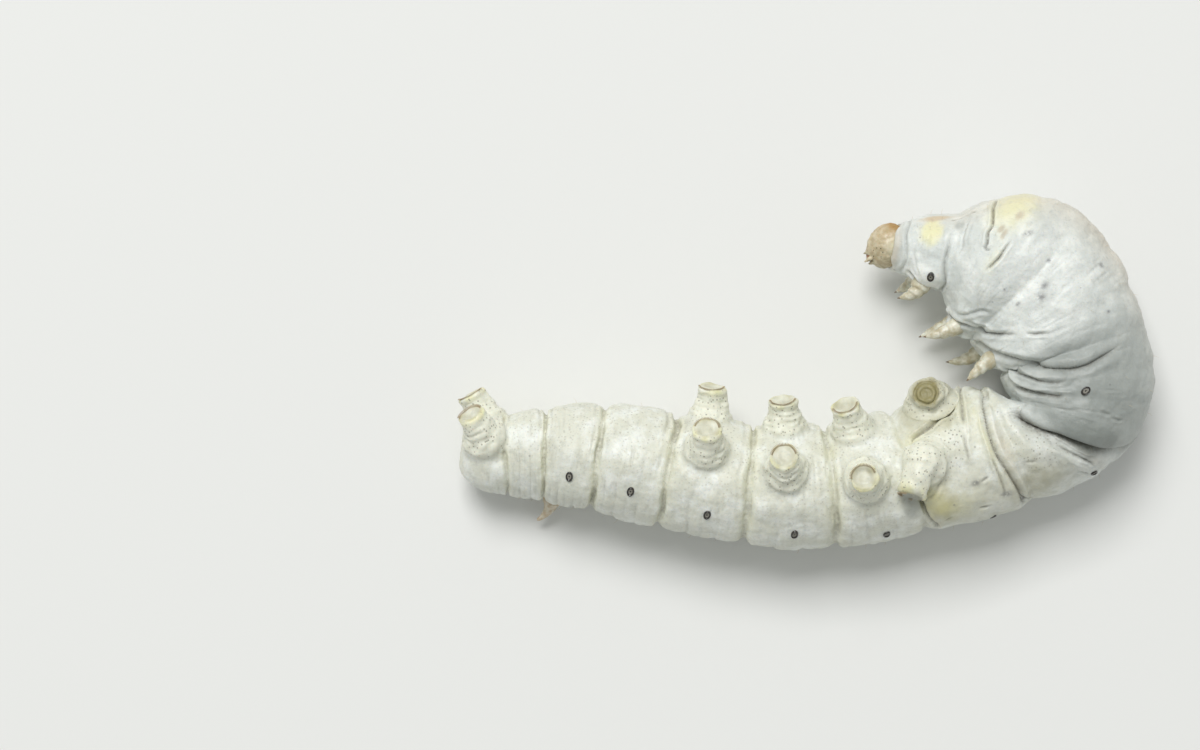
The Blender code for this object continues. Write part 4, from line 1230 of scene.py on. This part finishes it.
for plan in LEFT_LEGS:
    right = RIGHT_HINDLEG if plan.segment == RIGHT_HINDLEG.segment else mirrored(plan, RIGHT_LEG_REACH)
    for side in (plan, right):
        half = FORELEG_HALF if side.segment == 0 else LEG_HALF
        form = lofted(limb_rings(side, half, LEG_OUTLINE, LEG_POINTS, LEG_STEPS))
        made_piece(side.name + "_joints", form, leg_horn, [side.name])
        rings = limb_rings(side, LEG_HALF, CLAW_OUTLINE, CLAW_POINTS, CLAW_STEPS)[1:]
        made_piece(side.name + "_claw", lofted(rings), claw_horn)


# %% [markdown]
# The sole of a proleg holds on with crochets, a row of tiny pale brown hooks round its inner half. Each is a
# tapered line that rises from the sole and curls outwards. The first proleg on the right has drawn its hooks
# in.

# %% Hooks on the soles
HOOKS, HOOK_ARC, HOOK_CIRCLE, HOOK_REACH = 26, 160.0, 0.90, 0.22
HOOK_LINE = ((-0.5, 0.0), (0.2, 0.1), (0.55, 0.4), (0.55, 0.8), (0.3, 1.0))
HOOK_HALVES = (0.035, 0.035, 0.03, 0.02, 0.006)
HOOK_BROWN, HOOK_TAN = (0.34, 0.26, 0.16), (0.46, 0.37, 0.24)


def sole_hooks(plan):
    """The row of hooks on one sole."""
    root, aim, _, _ = limb_line(plan)
    left = body_at(plan.segment + plan.place)[3]
    way = unit(aim)
    inner, other = square_to(way, -left if plan.angle % 360 < 180 else left)
    hooks = []
    for turn in np.radians(np.linspace(-HOOK_ARC / 2, HOOK_ARC / 2, HOOKS)):
        outward = inner * math.cos(turn) + other * math.sin(turn)
        foot = root + aim + outward * HOOK_CIRCLE
        line = [foot + (way * up + outward * out) * HOOK_REACH for up, out in HOOK_LINE]
        hooks.append(tapered(line, HOOK_HALVES, 6, np.cross(way, outward)))
    return merged(hooks)


hook_rows = [sole_hooks(plan) for plan in prolegs if plan != RIGHT_PROLEG_1]
hook_horn = mottled("hook_horn", 0.35, glossy(0.2, 0.2), (6000, 2.0), (), (HOOK_BROWN, HOOK_TAN))
made_piece("crochets", merged(hook_rows), hook_horn)

# %% [markdown]
# The horn near the tail is a short soft spike, a little browner than the skin and ringed like a worn candle.

# %% The tail horn
HORN_OUTLINE = (
    (0.0, 1.25), (0.08, 1.02), (0.2, 0.86), (0.28, 0.76), (0.36, 0.72), (0.42, 0.63), (0.52, 0.60),
    (0.58, 0.50), (0.68, 0.47), (0.74, 0.38), (0.84, 0.34), (0.92, 0.27), (0.98, 0.17), (1.0, 0.08),
)
HORN_CREAM, HORN_BROWN = (0.66, 0.60, 0.48), (0.52, 0.42, 0.28)
tail_horn = mottled("tail_horn", 0.45, fleshy(0.2, 0.0005), (2200,), (0.40, 0.66), (HORN_CREAM, HORN_BROWN),
                    (5200, 3.0, 0.00004, 0.6))
HORN_POINTS, HORN_STEPS = 32, 60
horn_form = lofted(limb_rings(HORN, HORN_HALF, HORN_OUTLINE, HORN_POINTS, HORN_STEPS))
made_piece("caudal_horn_spike", horn_form, tail_horn, ["caudal_horn"])

# %% [markdown]
# ## Breathing holes
# Each flank has a row of spiracles: on the first segment and on the first eight of the abdomen. Each is a
# black glossy oval rim round a grey-brown plate that dips in the middle. They are set on the finished skin,
# found by shooting a ray at it.

# %% Spiracles
skin_tree = BVHTree.FromPolygons(skin.tolist(), quads.tolist())
# The place along the segment and the angle, by segment.
SPIRACLES = {0: (0.73, 116), 3: (0.55, 102), 4: (0.49, 86), 5: (0.36, 80)}
SPIRACLES |= {n: (0.45, 91) for n in range(6, 11)}
SPIRACLE_HALF, SPIRACLE_POINTS = (0.40, 0.28), 28
# (share of the half size, height in mm), from the outside in.
RIM_OUTLINE = ((1.05, -0.25), (1.06, 0.02), (1.0, 0.10), (0.88, 0.13), (0.74, 0.10), (0.66, 0.02))
PLATE_OUTLINE = ((0.70, -0.20), (0.70, 0.0), (0.55, 0.045), (0.36, 0.05), (0.20, 0.02), (0.08, -0.04))
FLOOR_CLEARANCE, RAY_START, RAY_LENGTH = 0.5, 1.5, 4.0
RIM_BLACK, RIM_BROWN = (0.012, 0.010, 0.009), (0.05, 0.042, 0.036)
PLATE_DARK, PLATE_PALE = (0.10, 0.095, 0.08), (0.42, 0.40, 0.34)


def on_skin(s, angle):
    """The finished skin's place and outward way over a place of the plain body."""
    seat = skin_point(s, angle)
    out, tailward = skin_ways(s, angle)
    place = skin_tree.ray_cast(Vector(seat + out * RAY_START), Vector(-out), RAY_LENGTH)[0]
    return (seat if place is None else np.array(place)), out, tailward


high, wide = SPIRACLE_HALF
rims, plates = [], []
for index, (place, angle) in SPIRACLES.items():
    for side_angle in (angle, 360 - angle):
        seat, out, tailward = on_skin(index + place, side_angle)
        if seat[2] < FLOOR_CLEARANCE:
            continue
        tall, across = square_to(out, np.cross(out, tailward))
        for forms, outline in ((rims, RIM_OUTLINE), (plates, PLATE_OUTLINE)):
            forms.append(lofted([oval(seat + out * up, tall, across, high * k, wide * k, SPIRACLE_POINTS)
                                 for k, up in outline]))
rim_horn = mottled("spiracle_rim", 0.22, glossy(0.5, 0.1), (9000, 2.0), (), (RIM_BLACK, RIM_BROWN))
plate_horn = mottled("spiracle_plate", 0.5, {}, (12000,), (), (PLATE_DARK, PLATE_PALE))
made_piece("spiracle_rims", merged(rims), rim_horn)
made_piece("spiracle_plates", merged(plates), plate_horn)

# %% [markdown]
# ## Hairs
# A silkworm looks bald, but a few short pale hairs stand on every segment and lean towards the tail. Each is
# a thin tapered line on the finished skin. They keep clear of the floor and of the breathing holes.

# %% Sparse hairs
HAIR_PLACES = (
    (0.28, 22), (0.58, 34), (0.74, 16), (0.42, 62), (0.70, 72), (0.30, 112), (0.62, 126), (0.50, 144),
)
HAIR_LENGTH, HAIR_HALF, HAIR_FLOOR, ROOT_SINK = 0.42, 0.013, 1.2, 0.12
# (share of the length, share of the thickness), from under the skin to the tip.
HAIR_OUTLINE = ((-0.2, 1.0), (0.0, 1.0), (0.5, 0.7), (1.0, 0.2))
HAIR_TAN, HAIR_CREAM = (0.52, 0.44, 0.30), (0.70, 0.62, 0.46)
hairs = []
rng = np.random.default_rng(5)
for index in range(TAIL - 1):
    for place, angle in HAIR_PLACES:
        for side_angle in (angle, 360 - angle):
            along_body, turned_by = rng.uniform(-0.04, 0.04), rng.uniform(-5, 5)
            length, lean = HAIR_LENGTH * rng.uniform(0.7, 1.15), rng.uniform(0.3, 0.7)
            seat, out, tailward = on_skin(index + place + along_body, side_angle + turned_by)
            if seat[2] < HAIR_FLOOR:
                continue
            line = [seat + (out * (up + ROOT_SINK * (up < 0)) + tailward * lean * up * abs(up)) * length
                    for up, _ in HAIR_OUTLINE]
            halves = [HAIR_HALF * thick for _, thick in HAIR_OUTLINE]
            hairs.append(tapered(line, halves, 5, np.cross(out, tailward)))
hair_horn = mottled("hair", 0.40, {}, (8000, 2.0), (), (HAIR_TAN, HAIR_CREAM))
made_piece("hairs", merged(hairs), hair_horn)

# %% [markdown]
# ## Floor, light and camera
# The camera hangs above the animal and looks straight down, so the larva lies where it does in the picture,
# in the right half of the frame. The light is a large soft lamp beyond the animal's back, with a pale sky to
# fill shadows.

# %% Floor, light and camera
FLOOR_COLOUR, FLOOR_HALF = (0.80, 0.80, 0.78, 1.0), 0.6
floor_paint = Paint("pale_floor", 0.85, {"Base Color": FLOOR_COLOUR})
floor_mesh = bpy.data.meshes.new("floor")
floor_corners = [(x * FLOOR_HALF, y * FLOOR_HALF, 0) for x, y in ((-1, -1), (1, -1), (1, 1), (-1, 1))]
floor_mesh.from_pydata(floor_corners, [], [(0, 1, 2, 3)])
floor_mesh.materials.append(floor_paint.material)
floor = bpy.data.objects.new("floor", floor_mesh)
bpy.context.scene.collection.objects.link(floor)

LAMP_PLACE, LAMP_SIZE, LAMP_POWER = (-0.20, 0.62, 1.00), 0.55, 10.8
light = bpy.data.lights.new("key", "AREA")
light.size, light.energy = LAMP_SIZE, LAMP_POWER
lamp = bpy.data.objects.new("key", light)
lamp.location = LAMP_PLACE
lamp.rotation_euler = (-Vector(LAMP_PLACE)).to_track_quat("-Z", "Y").to_euler()
bpy.context.scene.collection.objects.link(lamp)

SKY_COLOUR, SKY_STRENGTH = (0.97, 1.0, 0.98, 1.0), 0.43
world = bpy.data.worlds.new("sky")
world.use_nodes = True
sky = world.node_tree.nodes["Background"]
sky.inputs["Color"].default_value = SKY_COLOUR
sky.inputs["Strength"].default_value = SKY_STRENGTH
bpy.context.scene.world = world
bpy.context.scene.view_settings.view_transform = "Standard"

CAMERA_HEIGHT, SEEN_DISTANCE, SEEN_WIDTH, SENSOR = 0.266, 0.260, 0.096, 36.0
camera_data = bpy.data.cameras.new("camera")
camera_data.sensor_width = SENSOR
camera_data.lens = SENSOR * SEEN_DISTANCE / SEEN_WIDTH
camera_data.clip_start, camera_data.clip_end = 0.01, 10.0
camera = bpy.data.objects.new("camera", camera_data)
camera.location = (-BOX_CENTRE[0] * MM, -BOX_CENTRE[1] * MM, CAMERA_HEIGHT)
bpy.context.scene.collection.objects.link(camera)
bpy.context.scene.camera = camera
print("lens, mm:", round(camera_data.lens, 2))
